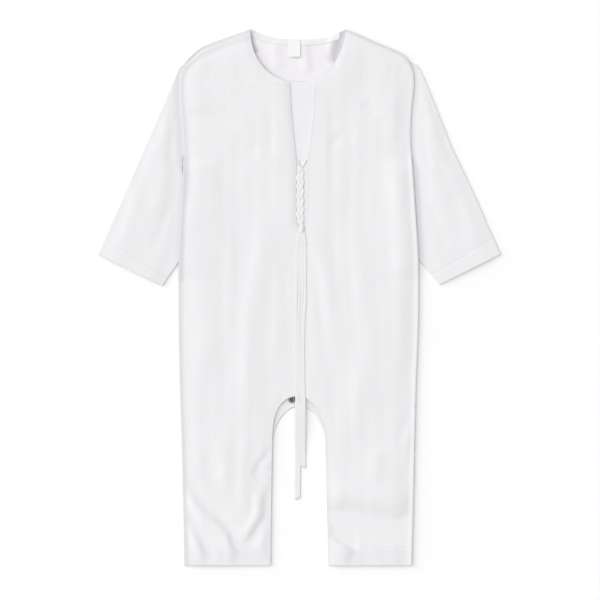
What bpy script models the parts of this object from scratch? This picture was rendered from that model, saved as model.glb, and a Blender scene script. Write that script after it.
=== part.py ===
"""A long-sleeved baby romper in plain white cotton, laid flat on its back.

X runs across the garment, Y from the leg hems to the neck, and Z up from the surface that it lies on.
"left" and "right" are the sides as they are seen from above, with the neck at the top. All sizes are metres.

The body is a front and a back, each one layer of cloth that meets the other at the shoulders and the sides.
Each sleeve is a flattened tube, sewn to the armhole and tucked under the body's side below it.
A long slit runs down the chest over an underlap. A plaited cord is tied across the slit, and its tassel
hangs down the front and past the crotch. The crotch closes with a snap band on the back.
"""

import math
from collections import namedtuple

import bmesh
import bpy
import numpy as np

# Cloth and the clearances between its layers
CLOTH = 0.0010
SEAM_GAP = 0.0003
LAY_GAP = 0.0005
MERGE = 0.00001

# Heights of the body above the surface
SIDE_RISE = 0.0008
SIDE_ROUND = 0.006
SHOULDER_RISE = 0.0020
SHOULDER_ROUND = 0.014
LOFT = 0.0016
LOFT_RUN = 0.022
NECK_LIFT = 0.0022
NECK_RUN = 0.050
NECK_END_RUN = 0.030
FOLD_EDGE_RUN = 0.012

# The sleeve's strip that is tucked under the body, and how far it lifts the body's side
TUCK_TOP_Y = 0.1620
TUCK_FULL_Y = 0.1440
TUCK_LOW_Y = 0.0400
TUCK_END_Y = 0.0180
TUCK_LIFT = 0.0028
TUCK_WIDTH = 0.0130
TUCK_RAMP = 0.0160

# Neckline: the front is a superellipse that hangs straighter on the right, the back a shallow bow
NECK_X = -0.0015
NECK_HALF = 0.0545
NECK_TOP_Y = 0.3080
FRONT_NECK_DEPTH = 0.0605
FRONT_NECK_POWER = 2.13
FRONT_NECK_SLACK = 0.0030
FRONT_NECK_SLACK_Y = 0.2620
NECK_SLACK_FADE = 0.3
BACK_NECK_DEPTH = 0.0108
BACK_NECK_POWER = 2.6

# Crotch arches, which are superellipses, then inseams and hems
Arch = namedtuple("Arch", "top_y low_y half left_power right_power")
FRONT_ARCH = Arch(-0.1132, -0.1650, 0.0303, 2.45, 1.85)
BACK_ARCH = Arch(-0.1254, -0.1734, 0.0300, 2.0, 2.0)
ARCH_X = -0.0006
ARCH_REACH = 0.040
HEM_Y = -0.3075
HEM_INNER_HALF = 0.0330

# Outline of the body's sides, one row for each height
Side = namedtuple("Side", "y left right")
SIDES = (
    Side(0.2700, -0.1318, 0.1274),
    Side(0.2600, -0.1359, 0.1308),
    Side(0.2450, -0.1380, 0.1317),
    Side(0.2200, -0.1370, 0.1294),
    Side(0.1900, -0.1349, 0.1279),
    Side(0.1600, -0.1334, 0.1294),
    Side(0.1300, -0.1342, 0.1314),
    Side(0.0900, -0.1365, 0.1341),
    Side(0.0450, -0.1386, 0.1367),
    Side(0.0000, -0.1389, 0.1372),
    Side(-0.0450, -0.1386, 0.1363),
    Side(-0.1000, -0.1375, 0.1342),
    Side(-0.1600, -0.1355, 0.1327),
    Side(-0.2300, -0.1337, 0.1312),
    Side(HEM_Y, -0.1321, 0.1292),
)

# How far the shoulder seam bows out from the straight line between its ends
Crown = namedtuple("Crown", "y left right")
SHOULDER_CROWN = (
    Crown(0.00, 0.0000, 0.0000),
    Crown(0.12, 0.0036, 0.0040),
    Crown(0.28, 0.0066, 0.0043),
    Crown(0.52, 0.0052, 0.0026),
    Crown(0.80, 0.0024, 0.0013),
    Crown(1.00, 0.0000, 0.0000),
)
SHOULDER_STEPS = 13

# Edges of the chest slit, which closes at its lower end
Slit = namedtuple("Slit", "y left right")
SLIT_TOP_LEFT = -0.0104
SLIT_TOP_RIGHT = 0.0172
SLIT_END_X = 0.0018
SLIT_END_Y = 0.0770
SLIT = (
    Slit(0.2520, -0.0106, 0.0173),
    Slit(0.2180, -0.0092, 0.0163),
    Slit(0.1820, -0.0058, 0.0125),
    Slit(0.1560, -0.0032, 0.0090),
    Slit(0.1250, -0.0037, 0.0090),
    Slit(0.0950, -0.0033, 0.0076),
    Slit(0.0840, -0.0024, 0.0062),
    Slit(SLIT_END_Y, SLIT_END_X, SLIT_END_X),
)

# Bands of rows down each half of a panel: the rows, and the stretch of the side that they start from
Band = namedtuple("Band", "name rows side_top side_bottom")
BANDS = (
    Band("neck", 7, 0.2700, 0.1960),
    Band("chest", 10, 0.1960, 0.0640),
    Band("trunk", 10, 0.0640, -0.0960),
    Band("arch", 7, -0.0960, -0.1600),
    Band("leg", 11, -0.1600, HEM_Y),
)
SIDE_COLUMNS = (0.0, 0.003, 0.009, 0.018, 0.031)
FRONT_INNER_COLUMNS = 6
BACK_INNER_COLUMNS = 2

# Soft folds of the front: ends, bow of the fold's line to its left, half width, height (a trough is negative).
# A fold fades in and out over this share of its length, before and after its ends.
FOLD_TAIL = 0.2
Fold = namedtuple("Fold", "x0 y0 x1 y1 bow half height")
FOLDS = (
    Fold(-0.0223, 0.1067, -0.0568, -0.1520, 0.0110, 0.0160, 0.0016),
    Fold(0.0214, 0.1067, 0.0467, -0.0486, 0.0000, 0.0130, 0.0012),
    Fold(0.0720, 0.0549, 0.0789, -0.1636, 0.0000, 0.0180, 0.0015),
    Fold(0.1120, 0.1700, 0.1120, -0.0370, 0.0000, 0.0120, 0.0010),
    Fold(-0.1086, 0.1469, -0.1143, -0.0370, 0.0000, 0.0140, 0.0009),
    Fold(-0.1143, 0.2136, -0.0300, 0.1600, 0.0060, 0.0090, -0.0007),
    Fold(0.0700, 0.2150, 0.0240, 0.1600, 0.0000, 0.0100, -0.0007),
    Fold(-0.1304, -0.2176, -0.0603, -0.2924, -0.0030, 0.0080, -0.0014),
    Fold(-0.1120, -0.2050, -0.0560, -0.2700, -0.0030, 0.0100, 0.0020),
    Fold(-0.1258, -0.2400, -0.0856, -0.2930, 0.0000, 0.0085, 0.0016),
    Fold(-0.0340, -0.2250, -0.0560, -0.2930, 0.0040, 0.0075, -0.0014),
    Fold(-0.0480, -0.2150, -0.0600, -0.2640, 0.0000, 0.0090, 0.0016),
    Fold(0.0375, -0.2418, 0.1157, -0.2464, 0.0000, 0.0085, -0.0014),
    Fold(0.0409, -0.2600, 0.1100, -0.2640, 0.0000, 0.0095, 0.0018),
    Fold(0.0340, -0.2840, 0.0640, -0.2940, 0.0000, 0.0080, 0.0014),
)

# Sleeves: the outer edge and the underarm edge of each section, by its share of the way to the cuff
Sleeve = namedtuple("Sleeve", "share outer_x outer_y inner_x inner_y")
SLEEVES = {
    "left": (
        Sleeve(0.00, -0.1334, 0.2680, -0.1342, 0.1640),
        Sleeve(0.03, -0.1370, 0.2650, -0.1344, 0.1590),
        Sleeve(0.15, -0.1488, 0.2392, -0.1345, 0.1460),
        Sleeve(0.30, -0.1631, 0.2069, -0.1305, 0.1210),
        Sleeve(0.45, -0.1775, 0.1742, -0.1285, 0.0930),
        Sleeve(0.60, -0.1925, 0.1402, -0.1310, 0.0680),
        Sleeve(0.76, -0.2085, 0.1040, -0.1375, 0.0420),
        Sleeve(0.88, -0.2205, 0.0768, -0.1480, 0.0270),
        Sleeve(1.00, -0.2322, 0.0503, -0.1571, 0.0135),
    ),
    "right": (
        Sleeve(0.00, 0.1290, 0.2700, 0.1299, 0.1640),
        Sleeve(0.03, 0.1358, 0.2675, 0.1300, 0.1590),
        Sleeve(0.11, 0.1433, 0.2532, 0.1304, 0.1480),
        Sleeve(0.30, 0.1617, 0.2072, 0.1275, 0.1210),
        Sleeve(0.45, 0.1764, 0.1704, 0.1262, 0.0930),
        Sleeve(0.60, 0.1925, 0.1376, 0.1290, 0.0680),
        Sleeve(0.75, 0.2077, 0.1041, 0.1350, 0.0455),
        Sleeve(0.87, 0.2187, 0.0784, 0.1480, 0.0310),
        Sleeve(1.00, 0.2318, 0.0500, 0.1608, 0.0149),
    ),
}
SLEEVE_ROWS = (0.0, 0.03, 0.09, 0.15, 0.22, 0.30, 0.38, 0.45, 0.53, 0.60, 0.68, 0.76, 0.84, 0.92, 1.0)
SLEEVE_SHARES = (0.0, 0.04, 0.14, 0.30, 0.48, 0.66, 0.82, 0.94, 1.0)
SLEEVE_LOFT = 0.0016
SLEEVE_LOFT_START = 0.002
SLEEVE_LOFT_RUN = 0.024
SLEEVE_EDGE_SHARE = 0.25
SLEEVE_CLEAR = 0.0005
CORNER_CLEAR = 0.0008
CORNER_SHARE = 0.10
ARMHOLE_FADE = 0.25

# Underlap behind the slit
UNDERLAP_LEFT = -0.0260
UNDERLAP_RIGHT = 0.0300
UNDERLAP_LOW_Y = 0.0640
UNDERLAP_FADE = 0.012
UNDERLAP_COLUMNS = 7
UNDERLAP_ROWS = 12

# Facing and label inside the back neck
FACING_WIDTH = 0.0075
FACING_END = 0.0480
FACING_COLUMNS = 16
LABEL_LEFT = -0.0117
LABEL_RIGHT = 0.0013
LABEL_TOP_Y = 0.2962
LABEL_LOW_Y = 0.2765
LABEL_CLOTH = 0.0010
LABEL_COLUMNS = 3
LABEL_ROWS = 6
LABEL_CURL = 0.0006

# Snap band on the back's crotch, and its snap
BAND_WIDTH = 0.0150
BAND_INSET = 0.0006
BAND_COLUMNS = 3
BAND_ROWS = 22
BAND_SPREAD = 0.022
BAND_FADE = 0.040
SNAP_X = -0.0088
SNAP_Y = -0.1168
SNAP_RADIUS = 0.0042
SNAP_HEIGHT = 0.0012
SNAP_BORE = 0.0018
SNAP_CLEAR = 0.0009
SNAP_STEPS = 24
SNAP_EDGE_HEIGHT = 0.0007
SNAP_LIP_HEIGHT = 0.0009
SNAP_LIP_RADIUS = 0.0024
SNAP_CROWN_RADIUS = 0.0033
SNAP_SPREAD = 0.026

# Plaited cord tied across the slit
BRAID_X = 0.0020
BRAID_TOP_Y = 0.1485
BRAID_LOW_Y = 0.0860
BRAID_HALF = 0.0041
BRAID_HIGH = 0.0034
BRAID_PITCH = 0.0104
BRAID_RELIEF = 0.14
BRAID_ROWS = 34
BRAID_SIDES = 10
BRAID_TAPER = 0.10
BRAID_END_SHARE = 0.5
BRAID_SLANT = 3.0
TIE_RADIUS = 0.0009
TIE_RESOLUTION = 2
Tie = namedtuple("Tie", "x y")
TIES = (
    Tie(-0.0039, 0.1562),
    Tie(-0.0026, 0.1528),
    Tie(0.0000, 0.1503),
    Tie(0.0026, 0.1530),
    Tie(0.0044, 0.1570),
)

# Tassel: its head, and where each flat strand runs
HEAD_Y = 0.0800
HEAD_HALF_X = 0.0033
HEAD_HALF_Y = 0.0052
HEAD_HALF_Z = 0.0014
HEAD_SIDES = 14
HEAD_RINGS = 8
STRAND_CLOTH = 0.0011
STRAND_CUTS = 26
STRAND_ROOT_Y = 0.0780
STRAND_FLOOR = 0.0007
STRAND_GAP = 0.0008
STRAND_OVER_BAND = 0.0017
STRAND_BEND = 0.002
STRAND_DROP = 0.016
STRAND_SETTLE = 0.060
Strand = namedtuple("Strand", "y width first second third fourth")
STRANDS = (
    Strand(STRAND_ROOT_Y, 0.0009, 0.0006, 0.0019, 0.0032, 0.0045),
    Strand(0.0690, 0.0018, -0.0012, 0.0012, 0.0036, 0.0060),
    Strand(0.0450, 0.0023, -0.0027, 0.0004, 0.0035, 0.0066),
    Strand(0.0200, 0.0023, -0.0033, -0.0001, 0.0032, 0.0065),
    Strand(-0.0026, 0.0023, -0.0037, -0.0004, 0.0030, 0.0064),
    Strand(-0.0300, 0.0022, -0.0043, -0.0013, 0.0017, 0.0048),
    Strand(-0.0543, 0.0022, -0.0045, -0.0016, 0.0013, 0.0042),
    Strand(-0.0860, 0.0021, -0.0037, -0.0010, 0.0018, 0.0046),
    Strand(-0.1176, 0.0021, -0.0030, -0.0003, 0.0025, 0.0053),
    Strand(-0.1600, 0.0021, -0.0033, -0.0005, 0.0027, 0.0054),
    Strand(-0.1960, 0.0021, -0.0034, -0.0006, 0.0030, 0.0056),
    Strand(-0.2330, 0.0021, -0.0035, -0.0007, 0.0030, 0.0056),
)
STRAND_ENDS = {"first": -0.2320, "second": -0.2305, "third": -0.1940, "fourth": -0.1955}


def smooth(share):
    """0 below 0, 1 above 1, and an even slope between."""
    share = min(1.0, max(0.0, share))
    return share * share * (3 - 2 * share)


def column_at(rows, column, y):
    """A table's column at y, on a smooth curve through its rows."""
    ys = np.array([row.y for row in rows])
    values = np.array([getattr(row, column) for row in rows])
    if ys[0] > ys[-1]:
        ys, values = ys[::-1], values[::-1]
    slopes = np.gradient(values, ys)
    y = min(ys[-1], max(ys[0], y))
    k = min(len(ys) - 2, int(np.searchsorted(ys, y, side="right")) - 1)
    step = ys[k + 1] - ys[k]
    t = (y - ys[k]) / step
    start = (1 + 2 * t) * (1 - t) ** 2 * values[k] + t * (1 - t) ** 2 * step * slopes[k]
    end = t * t * (3 - 2 * t) * values[k + 1] + t * t * (t - 1) * step * slopes[k + 1]
    return float(start + end)


def sign_of(side):
    return -1 if side == "left" else 1


def shoulder_point(side, share):
    """A point of the shoulder seam, from its armhole end at 0 to the neck at 1."""
    start = np.array([getattr(SIDES[0], side), SIDES[0].y])
    end = np.array([NECK_X + sign_of(side) * NECK_HALF, NECK_TOP_Y])
    along = (end - start) / np.linalg.norm(end - start)
    outward = np.array([-along[1], along[0]]) * -sign_of(side)
    return start + share * (end - start) + column_at(SHOULDER_CROWN, side, share) * outward


SHOULDER_LINES = {
    side: np.array([shoulder_point(side, share) for share in np.linspace(0, 1, SHOULDER_STEPS)])
    for side in ("left", "right")
}


def side_distance(x, y):
    """How far a point is inside the nearer side edge."""
    return min(x - column_at(SIDES, "left", y), column_at(SIDES, "right", y) - x)


def shoulder_distance(x, y):
    """How far a point is below the shoulder seams, or away from their neck ends."""
    if abs(x - NECK_X) < NECK_HALF:
        return math.hypot(NECK_HALF - abs(x - NECK_X), NECK_TOP_Y - y)
    line = SHOULDER_LINES["left" if x < NECK_X else "right"]
    order = np.argsort(line[:, 0])
    return float(np.interp(x, line[order, 0], line[order, 1])) - y


def neck_distance(x, y):
    """About how far a point is outside the front neckline."""
    across = abs(x - NECK_X) / NECK_HALF
    down = max(0.0, NECK_TOP_Y - y) / FRONT_NECK_DEPTH
    reach = (across**FRONT_NECK_POWER + down**FRONT_NECK_POWER) ** (1 / FRONT_NECK_POWER)
    return (reach - 1) * NECK_HALF


def arch_distance(x, y):
    """About how far a point is outside the front's crotch arch and inseams."""
    if y < FRONT_ARCH.low_y:
        return abs(x - ARCH_X) - FRONT_ARCH.half
    up = (y - FRONT_ARCH.low_y) / (FRONT_ARCH.top_y - FRONT_ARCH.low_y)
    return (math.hypot((x - ARCH_X) / FRONT_ARCH.half, up) - 1) * ARCH_REACH


def arch_point(arch, side, share, grow=0.0):
    """A point of a crotch arch, from its top at 0 to its foot at 1, moved out by grow."""
    power = arch.left_power if side == "left" else arch.right_power
    turn = share * math.pi / 2
    across = (arch.half + grow) * math.sin(turn) ** (2 / power)
    up = (arch.top_y - arch.low_y + grow) * math.cos(turn) ** (2 / power)
    return ARCH_X + sign_of(side) * across, arch.low_y + up


def tuck_lift(x, y):
    """How far the tucked sleeves lift the body."""
    along = smooth((TUCK_TOP_Y - y) / (TUCK_TOP_Y - TUCK_FULL_Y))
    along *= smooth((y - TUCK_END_Y) / (TUCK_LOW_Y - TUCK_END_Y))
    return TUCK_LIFT * along * (1 - smooth((side_distance(x, y) - TUCK_WIDTH) / TUCK_RAMP))


def back_height(x, y):
    """The back's lower face."""
    side = SIDE_RISE * (1 - smooth(side_distance(x, y) / SIDE_ROUND))
    shoulder = SHOULDER_RISE * (1 - smooth(shoulder_distance(x, y) / SHOULDER_ROUND))
    return tuck_lift(x, y) + max(side, shoulder)


def fold_height(x, y):
    """All the folds of the front together."""
    total = 0.0
    for fold in FOLDS:
        along_x, along_y = fold.x1 - fold.x0, fold.y1 - fold.y0
        length = math.hypot(along_x, along_y)
        share = ((x - fold.x0) * along_x + (y - fold.y0) * along_y) / length**2
        if not -FOLD_TAIL < share < 1 + FOLD_TAIL:
            continue
        off = ((x - fold.x0) * along_y - (y - fold.y0) * along_x) / length
        off += fold.bow * 4 * share * (1 - share)
        ends = smooth((share + FOLD_TAIL) / (2 * FOLD_TAIL)) * smooth((1 + FOLD_TAIL - share) / (2 * FOLD_TAIL))
        total += fold.height * ends * math.exp(-((off / fold.half) ** 2))
    return total


def underlap_share(x, y):
    """1 over the underlap, fading to 0 around it."""
    across = min(x - UNDERLAP_LEFT, UNDERLAP_RIGHT - x)
    return smooth(across / UNDERLAP_FADE + 1) * smooth((y - UNDERLAP_LOW_Y) / UNDERLAP_FADE + 1)


def front_height(x, y):
    """The front's lower face: clear of the back and of what lies between them."""
    inside = min(side_distance(x, y), shoulder_distance(x, y))
    loft = LOFT * smooth(inside / LOFT_RUN)
    neck = smooth(shoulder_distance(x, y) / NECK_END_RUN) * (1 - smooth(neck_distance(x, y) / NECK_RUN))
    loft += NECK_LIFT * neck + fold_height(x, y) * smooth(inside / FOLD_EDGE_RUN)
    need = (CLOTH + LAY_GAP + SEAM_GAP) * underlap_share(x, y)
    snap_off = math.hypot(x - SNAP_X, y - SNAP_Y) - SNAP_RADIUS
    band = (CLOTH + LAY_GAP) * (1 - smooth((arch_distance(x, y) - BAND_WIDTH) / BAND_SPREAD))
    band *= smooth((y - FRONT_ARCH.low_y) / BAND_FADE + 1)
    band += (SNAP_HEIGHT + SNAP_CLEAR) * (1 - smooth(snap_off / SNAP_SPREAD))
    return back_height(x, y) + CLOTH + SEAM_GAP + max(0.0, loft, need, band)


def neck_slack(y):
    """How far the right side of the front neckline hangs inside its superellipse."""
    share = (NECK_TOP_Y - y) / (NECK_TOP_Y - FRONT_NECK_SLACK_Y)
    return FRONT_NECK_SLACK * share * smooth((1 - share) / NECK_SLACK_FADE)


def neck_point(panel, side, share):
    """A point of the neckline, from the shoulder at 0 to the slit or the centre back at 1."""
    sign = sign_of(side)
    if panel == "back":
        half = NECK_HALF * (1 - share)
        rise = BACK_NECK_DEPTH * (half / NECK_HALF) ** BACK_NECK_POWER
        return NECK_X * (1 - share) + sign * half, NECK_TOP_Y - BACK_NECK_DEPTH + rise
    corner = SLIT_TOP_LEFT if side == "left" else SLIT_TOP_RIGHT
    turn = share * math.acos((abs(corner - NECK_X) / NECK_HALF) ** (FRONT_NECK_POWER / 2))
    across = NECK_HALF * math.cos(turn) ** (2 / FRONT_NECK_POWER)
    y = NECK_TOP_Y - FRONT_NECK_DEPTH * math.sin(turn) ** (2 / FRONT_NECK_POWER)
    return NECK_X + sign * across - (neck_slack(y) if side == "right" else 0.0), y


def inner_point(panel, side, band, share):
    """A point of a half panel's inner edge: neckline, slit or centre line, crotch arch and inseam."""
    front = panel == "front"
    arch = FRONT_ARCH if front else BACK_ARCH
    if band == "neck":
        return neck_point(panel, side, share)
    if band == "chest":
        top_x, top_y = neck_point(panel, side, 1)
        y = top_y + share * (SLIT_END_Y - top_y)
        return column_at(SLIT, side, y) if front else top_x + share * (SLIT_END_X - top_x), y
    if band == "trunk":
        return SLIT_END_X + share * (ARCH_X - SLIT_END_X), SLIT_END_Y + share * (arch.top_y - SLIT_END_Y)
    if band == "arch":
        return arch_point(arch, side, share)
    half = arch.half + share * (HEM_INNER_HALF - arch.half)
    return ARCH_X * (1 - share) + sign_of(side) * half, arch.low_y + share * (HEM_Y - arch.low_y)


def row_ends(panel, side, row):
    """The side point and the inner point of one row, and how much of the shoulder's bow it has."""
    for band in BANDS:
        if row <= band.rows:
            share = row / band.rows
            y = band.side_top + share * (band.side_bottom - band.side_top)
            outer = np.array([column_at(SIDES, side, y), y])
            bow = 1 - smooth(share) if band.name == "neck" else 0.0
            return outer, np.array(inner_point(panel, side, band.name, share)), bow
        row -= band.rows


def half_point(panel, side, row, column, inner_columns):
    """A grid point of half a panel, in plan."""
    outer, inner, bow = row_ends(panel, side, row)
    length = np.linalg.norm(inner - outer)
    if column < len(SIDE_COLUMNS):
        share = SIDE_COLUMNS[column] / length
    else:
        start = SIDE_COLUMNS[-1] / length
        share = start + (1 - start) * (column - len(SIDE_COLUMNS) + 1) / inner_columns
    straight = outer + share * (inner - outer)
    shoulder = shoulder_point(side, share)
    first = shoulder_point(side, 0) + share * (shoulder_point(side, 1) - shoulder_point(side, 0))
    return straight + bow * (shoulder - first)


def grid(mesh, columns, rows, place):
    """Adds a grid to the bmesh and puts the vertex of each column and row where place says."""
    made = bmesh.ops.create_grid(mesh, x_segments=columns, y_segments=rows, size=0.5)
    for vertex in made["verts"]:
        column = round((vertex.co.x + 0.5) * columns)
        row = round((vertex.co.y + 0.5) * rows)
        vertex.co = place(column, row)
    return made["verts"]


def add_object(name, mesh_data, material, cutter=False):
    """Links a new object in the collection of the parts, or of the cutters."""
    made = bpy.data.objects.new(name, mesh_data)
    made.data.materials.clear()
    made.data.materials.append(material)
    (CUTTERS if cutter else PARTS).objects.link(made)
    if cutter:
        made.hide_render = True
        made.display_type = "WIRE"
    return made


def cloth_object(name, mesh, material, thickness=CLOTH, offset=1, even=True):
    """An object of one layer of cloth, thickened away from its face."""
    bmesh.ops.remove_doubles(mesh, verts=mesh.verts, dist=MERGE)
    data = bpy.data.meshes.new(name)
    mesh.to_mesh(data)
    mesh.free()
    data.shade_smooth()
    made = add_object(name, data, material)
    wall = made.modifiers.new("Wall", "SOLIDIFY")
    wall.thickness = thickness
    wall.offset = offset
    wall.use_even_offset = even
    return made


def body_panel(panel, inner_columns, height, material):
    """The front or the back: two halves of rows, joined down the centre."""
    mesh = bmesh.new()
    columns = len(SIDE_COLUMNS) - 1 + inner_columns
    rows = sum(band.rows for band in BANDS)
    for side in ("left", "right"):

        def place(column, row, side=side):
            from_side = column if side == "left" else columns - column
            x, y = half_point(panel, side, rows - row, from_side, inner_columns)
            return x, y, height(x, y)

        grid(mesh, columns, rows, place)
    return cloth_object(panel + "_panel", mesh, material)


def sleeve_row(side, share):
    """The outer and the inner point of a sleeve's section, from the armhole at 0 to the cuff at 1."""
    rows = SLEEVES[side]
    shares = [row.share for row in rows]
    columns = [[getattr(row, name) for row in rows] for name in Sleeve._fields[1:]]
    return [float(np.interp(share, shares, column)) for column in columns]


def sleeve_plan(side, across, share):
    """A point of the sleeve in plan: across runs from the outer edge to the underarm edge."""
    outer_x, outer_y, inner_x, inner_y = sleeve_row(side, share)
    x = outer_x + across * (inner_x - outer_x)
    y = outer_y + across * (inner_y - outer_y)
    first = sleeve_row(side, 0)
    seam_y = first[1] + across * (first[3] - first[1])
    clear = SLEEVE_CLEAR + CORNER_CLEAR * (1 - smooth(across / CORNER_SHARE))
    seam_x = column_at(SIDES, side, seam_y) + sign_of(side) * clear
    straight_x = first[0] + across * (first[2] - first[0])
    return x + (1 - smooth(share / ARMHOLE_FADE)) * (seam_x - straight_x), y


def sleeve_height(side, x, y, across):
    """The sleeve's upper face: pressed flat under the body and at its edges, and lofty between."""
    beyond = abs(x) - abs(column_at(SIDES, side, y))
    edge = smooth(across / SLEEVE_EDGE_SHARE)
    return 2 * CLOTH + SEAM_GAP + SLEEVE_LOFT * edge * smooth((beyond - SLEEVE_LOFT_START) / SLEEVE_LOFT_RUN)


def sleeve(side, material):
    """A sleeve: a flattened tube, open at the armhole and at the cuff."""
    mesh = bmesh.new()
    shares = SLEEVE_SHARES
    lower = [(share, 0.0) for share in shares]
    upper = [(share, 1.0) for share in reversed(shares)]
    ring = lower + [(1.0, 0.5)] + upper + [(0.0, 0.5)]
    ring.append(ring[0])

    def place(column, row):
        across, level = ring[column if side == "left" else len(ring) - 1 - column]
        x, y = sleeve_plan(side, across, SLEEVE_ROWS[-1 - row])
        return x, y, level * sleeve_height(side, x, y, across)

    grid(mesh, len(ring) - 1, len(SLEEVE_ROWS) - 1, place)
    bmesh.ops.remove_doubles(mesh, verts=mesh.verts, dist=MERGE)
    bmesh.ops.recalc_face_normals(mesh, faces=mesh.faces)
    return cloth_object("sleeve_" + side, mesh, material, offset=-1, even=False)


def front_neck_y(x):
    """How far up the front neckline is at x, near its middle."""
    across = abs(x - NECK_X) / NECK_HALF
    return NECK_TOP_Y - FRONT_NECK_DEPTH * (1 - across**FRONT_NECK_POWER) ** (1 / FRONT_NECK_POWER)


def underlap_height(x, y):
    """The underlap's lower face, just under the front."""
    return front_height(x, y) - LAY_GAP - CLOTH


def underlap(material):
    """The strip of cloth behind the slit, cut along the neckline at its top."""
    mesh = bmesh.new()

    def place(column, row):
        x = UNDERLAP_LEFT + (UNDERLAP_RIGHT - UNDERLAP_LEFT) * column / UNDERLAP_COLUMNS
        y = UNDERLAP_LOW_Y + (front_neck_y(x) - UNDERLAP_LOW_Y) * row / UNDERLAP_ROWS
        return x, y, underlap_height(x, y)

    grid(mesh, UNDERLAP_COLUMNS, UNDERLAP_ROWS, place)
    return cloth_object("underlap", mesh, material)


def back_neck_facing(material):
    """The narrow strip sewn inside the back neckline."""
    mesh = bmesh.new()

    def place(column, row):
        share = FACING_END / NECK_HALF * abs(2 * column / FACING_COLUMNS - 1)
        side = "left" if 2 * column < FACING_COLUMNS else "right"
        x, y = neck_point("back", side, 1 - share)
        y -= SEAM_GAP + FACING_WIDTH * (1 - row)
        return x, y, back_height(x, y) + CLOTH + SEAM_GAP

    grid(mesh, FACING_COLUMNS, 1, place)
    return cloth_object("back_neck_facing", mesh, material)


def size_label(material):
    """The small woven label, sewn over the facing, with its free end curling up."""
    mesh = bmesh.new()
    top = 2 * (CLOTH + SEAM_GAP)

    def place(column, row):
        x = LABEL_LEFT + (LABEL_RIGHT - LABEL_LEFT) * column / LABEL_COLUMNS
        y = LABEL_LOW_Y + (LABEL_TOP_Y - LABEL_LOW_Y) * row / LABEL_ROWS
        return x, y, top + LABEL_CURL * (1 - row / LABEL_ROWS) ** 2

    grid(mesh, LABEL_COLUMNS, LABEL_ROWS, place)
    return cloth_object("size_label", mesh, material, thickness=LABEL_CLOTH)


def snap_band(material):
    """The band along the back's crotch arch, which shows below the front's edge."""
    mesh = bmesh.new()

    def place(column, row):
        share = 2 * row / BAND_ROWS - 1
        side = "left" if share < 0 else "right"
        x, y = arch_point(BACK_ARCH, side, abs(share), BAND_INSET + BAND_WIDTH * column / BAND_COLUMNS)
        return x, y, back_height(x, y) + CLOTH + SEAM_GAP

    grid(mesh, BAND_COLUMNS, BAND_ROWS, place)
    bmesh.ops.recalc_face_normals(mesh, faces=mesh.faces)
    if sum(face.normal.z for face in mesh.faces) < 0:
        bmesh.ops.reverse_faces(mesh, faces=mesh.faces)
    return cloth_object("crotch_snap_band", mesh, material)


def crotch_snap(material):
    """The socket of the snap: a turned metal ring with a raised rim."""
    base = back_height(SNAP_X, SNAP_Y) + 2 * (CLOTH + SEAM_GAP)
    profile = (
        (SNAP_RADIUS, SNAP_EDGE_HEIGHT),
        (SNAP_RADIUS, 0.0),
        (SNAP_BORE, 0.0),
        (SNAP_BORE, SNAP_LIP_HEIGHT),
        (SNAP_LIP_RADIUS, SNAP_HEIGHT),
        (SNAP_CROWN_RADIUS, SNAP_HEIGHT),
    )
    mesh = bmesh.new()
    corners = [mesh.verts.new((radius, 0.0, z)) for radius, z in profile]
    edges = [mesh.edges.new((corners[k], corners[(k + 1) % len(corners)])) for k in range(len(corners))]
    turned = corners + edges
    bmesh.ops.spin(
        mesh, geom=turned, cent=(0, 0, 0), axis=(0, 0, 1), angle=math.tau, steps=SNAP_STEPS, use_merge=True
    )
    bmesh.ops.remove_doubles(mesh, verts=mesh.verts, dist=MERGE)
    bmesh.ops.recalc_face_normals(mesh, faces=mesh.faces)
    bmesh.ops.translate(mesh, verts=mesh.verts, vec=(SNAP_X, SNAP_Y, base))
    data = bpy.data.meshes.new("crotch_snap")
    mesh.to_mesh(data)
    mesh.free()
    return add_object("crotch_snap", data, material)


def braid_floor(y):
    """The height that the plaited cord lies at."""
    return max(underlap_height(BRAID_X + off, y) for off in (-BRAID_HALF, 0, BRAID_HALF)) + CLOTH + LAY_GAP


def braid(material):
    """The plaited cord: a flat bar with the lobes of a plait down both of its edges and its top."""
    mesh = bmesh.new()
    bmesh.ops.create_cone(mesh, cap_ends=True, segments=BRAID_SIDES, radius1=1, radius2=1, depth=1)
    lengthwise = [edge for edge in mesh.edges if abs(edge.verts[0].co.z - edge.verts[1].co.z) > 0.5]
    bmesh.ops.subdivide_edges(mesh, edges=lengthwise, cuts=BRAID_ROWS)
    for vertex in mesh.verts:
        share = vertex.co.z + 0.5
        y = BRAID_LOW_Y + share * (BRAID_TOP_Y - BRAID_LOW_Y)
        turn = math.tau * y / BRAID_PITCH
        taper = BRAID_END_SHARE + (1 - BRAID_END_SHARE) * smooth(min(share, 1 - share) / BRAID_TAPER)
        edge = 1 + BRAID_RELIEF * math.sin(turn + (0 if vertex.co.x > 0 else math.pi))
        crest = 1 + BRAID_RELIEF * math.sin(2 * turn + BRAID_SLANT * vertex.co.x) * max(0.0, vertex.co.y)
        x = BRAID_X + BRAID_HALF * taper * edge * vertex.co.x
        up = BRAID_HIGH * (0.5 + 0.5 * crest * vertex.co.y)
        vertex.co = (x, y, braid_floor(y) + up)
    bmesh.ops.recalc_face_normals(mesh, faces=mesh.faces)
    data = bpy.data.meshes.new("plaited_cord")
    mesh.to_mesh(data)
    mesh.free()
    return add_object("plaited_cord", data, material)


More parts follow.
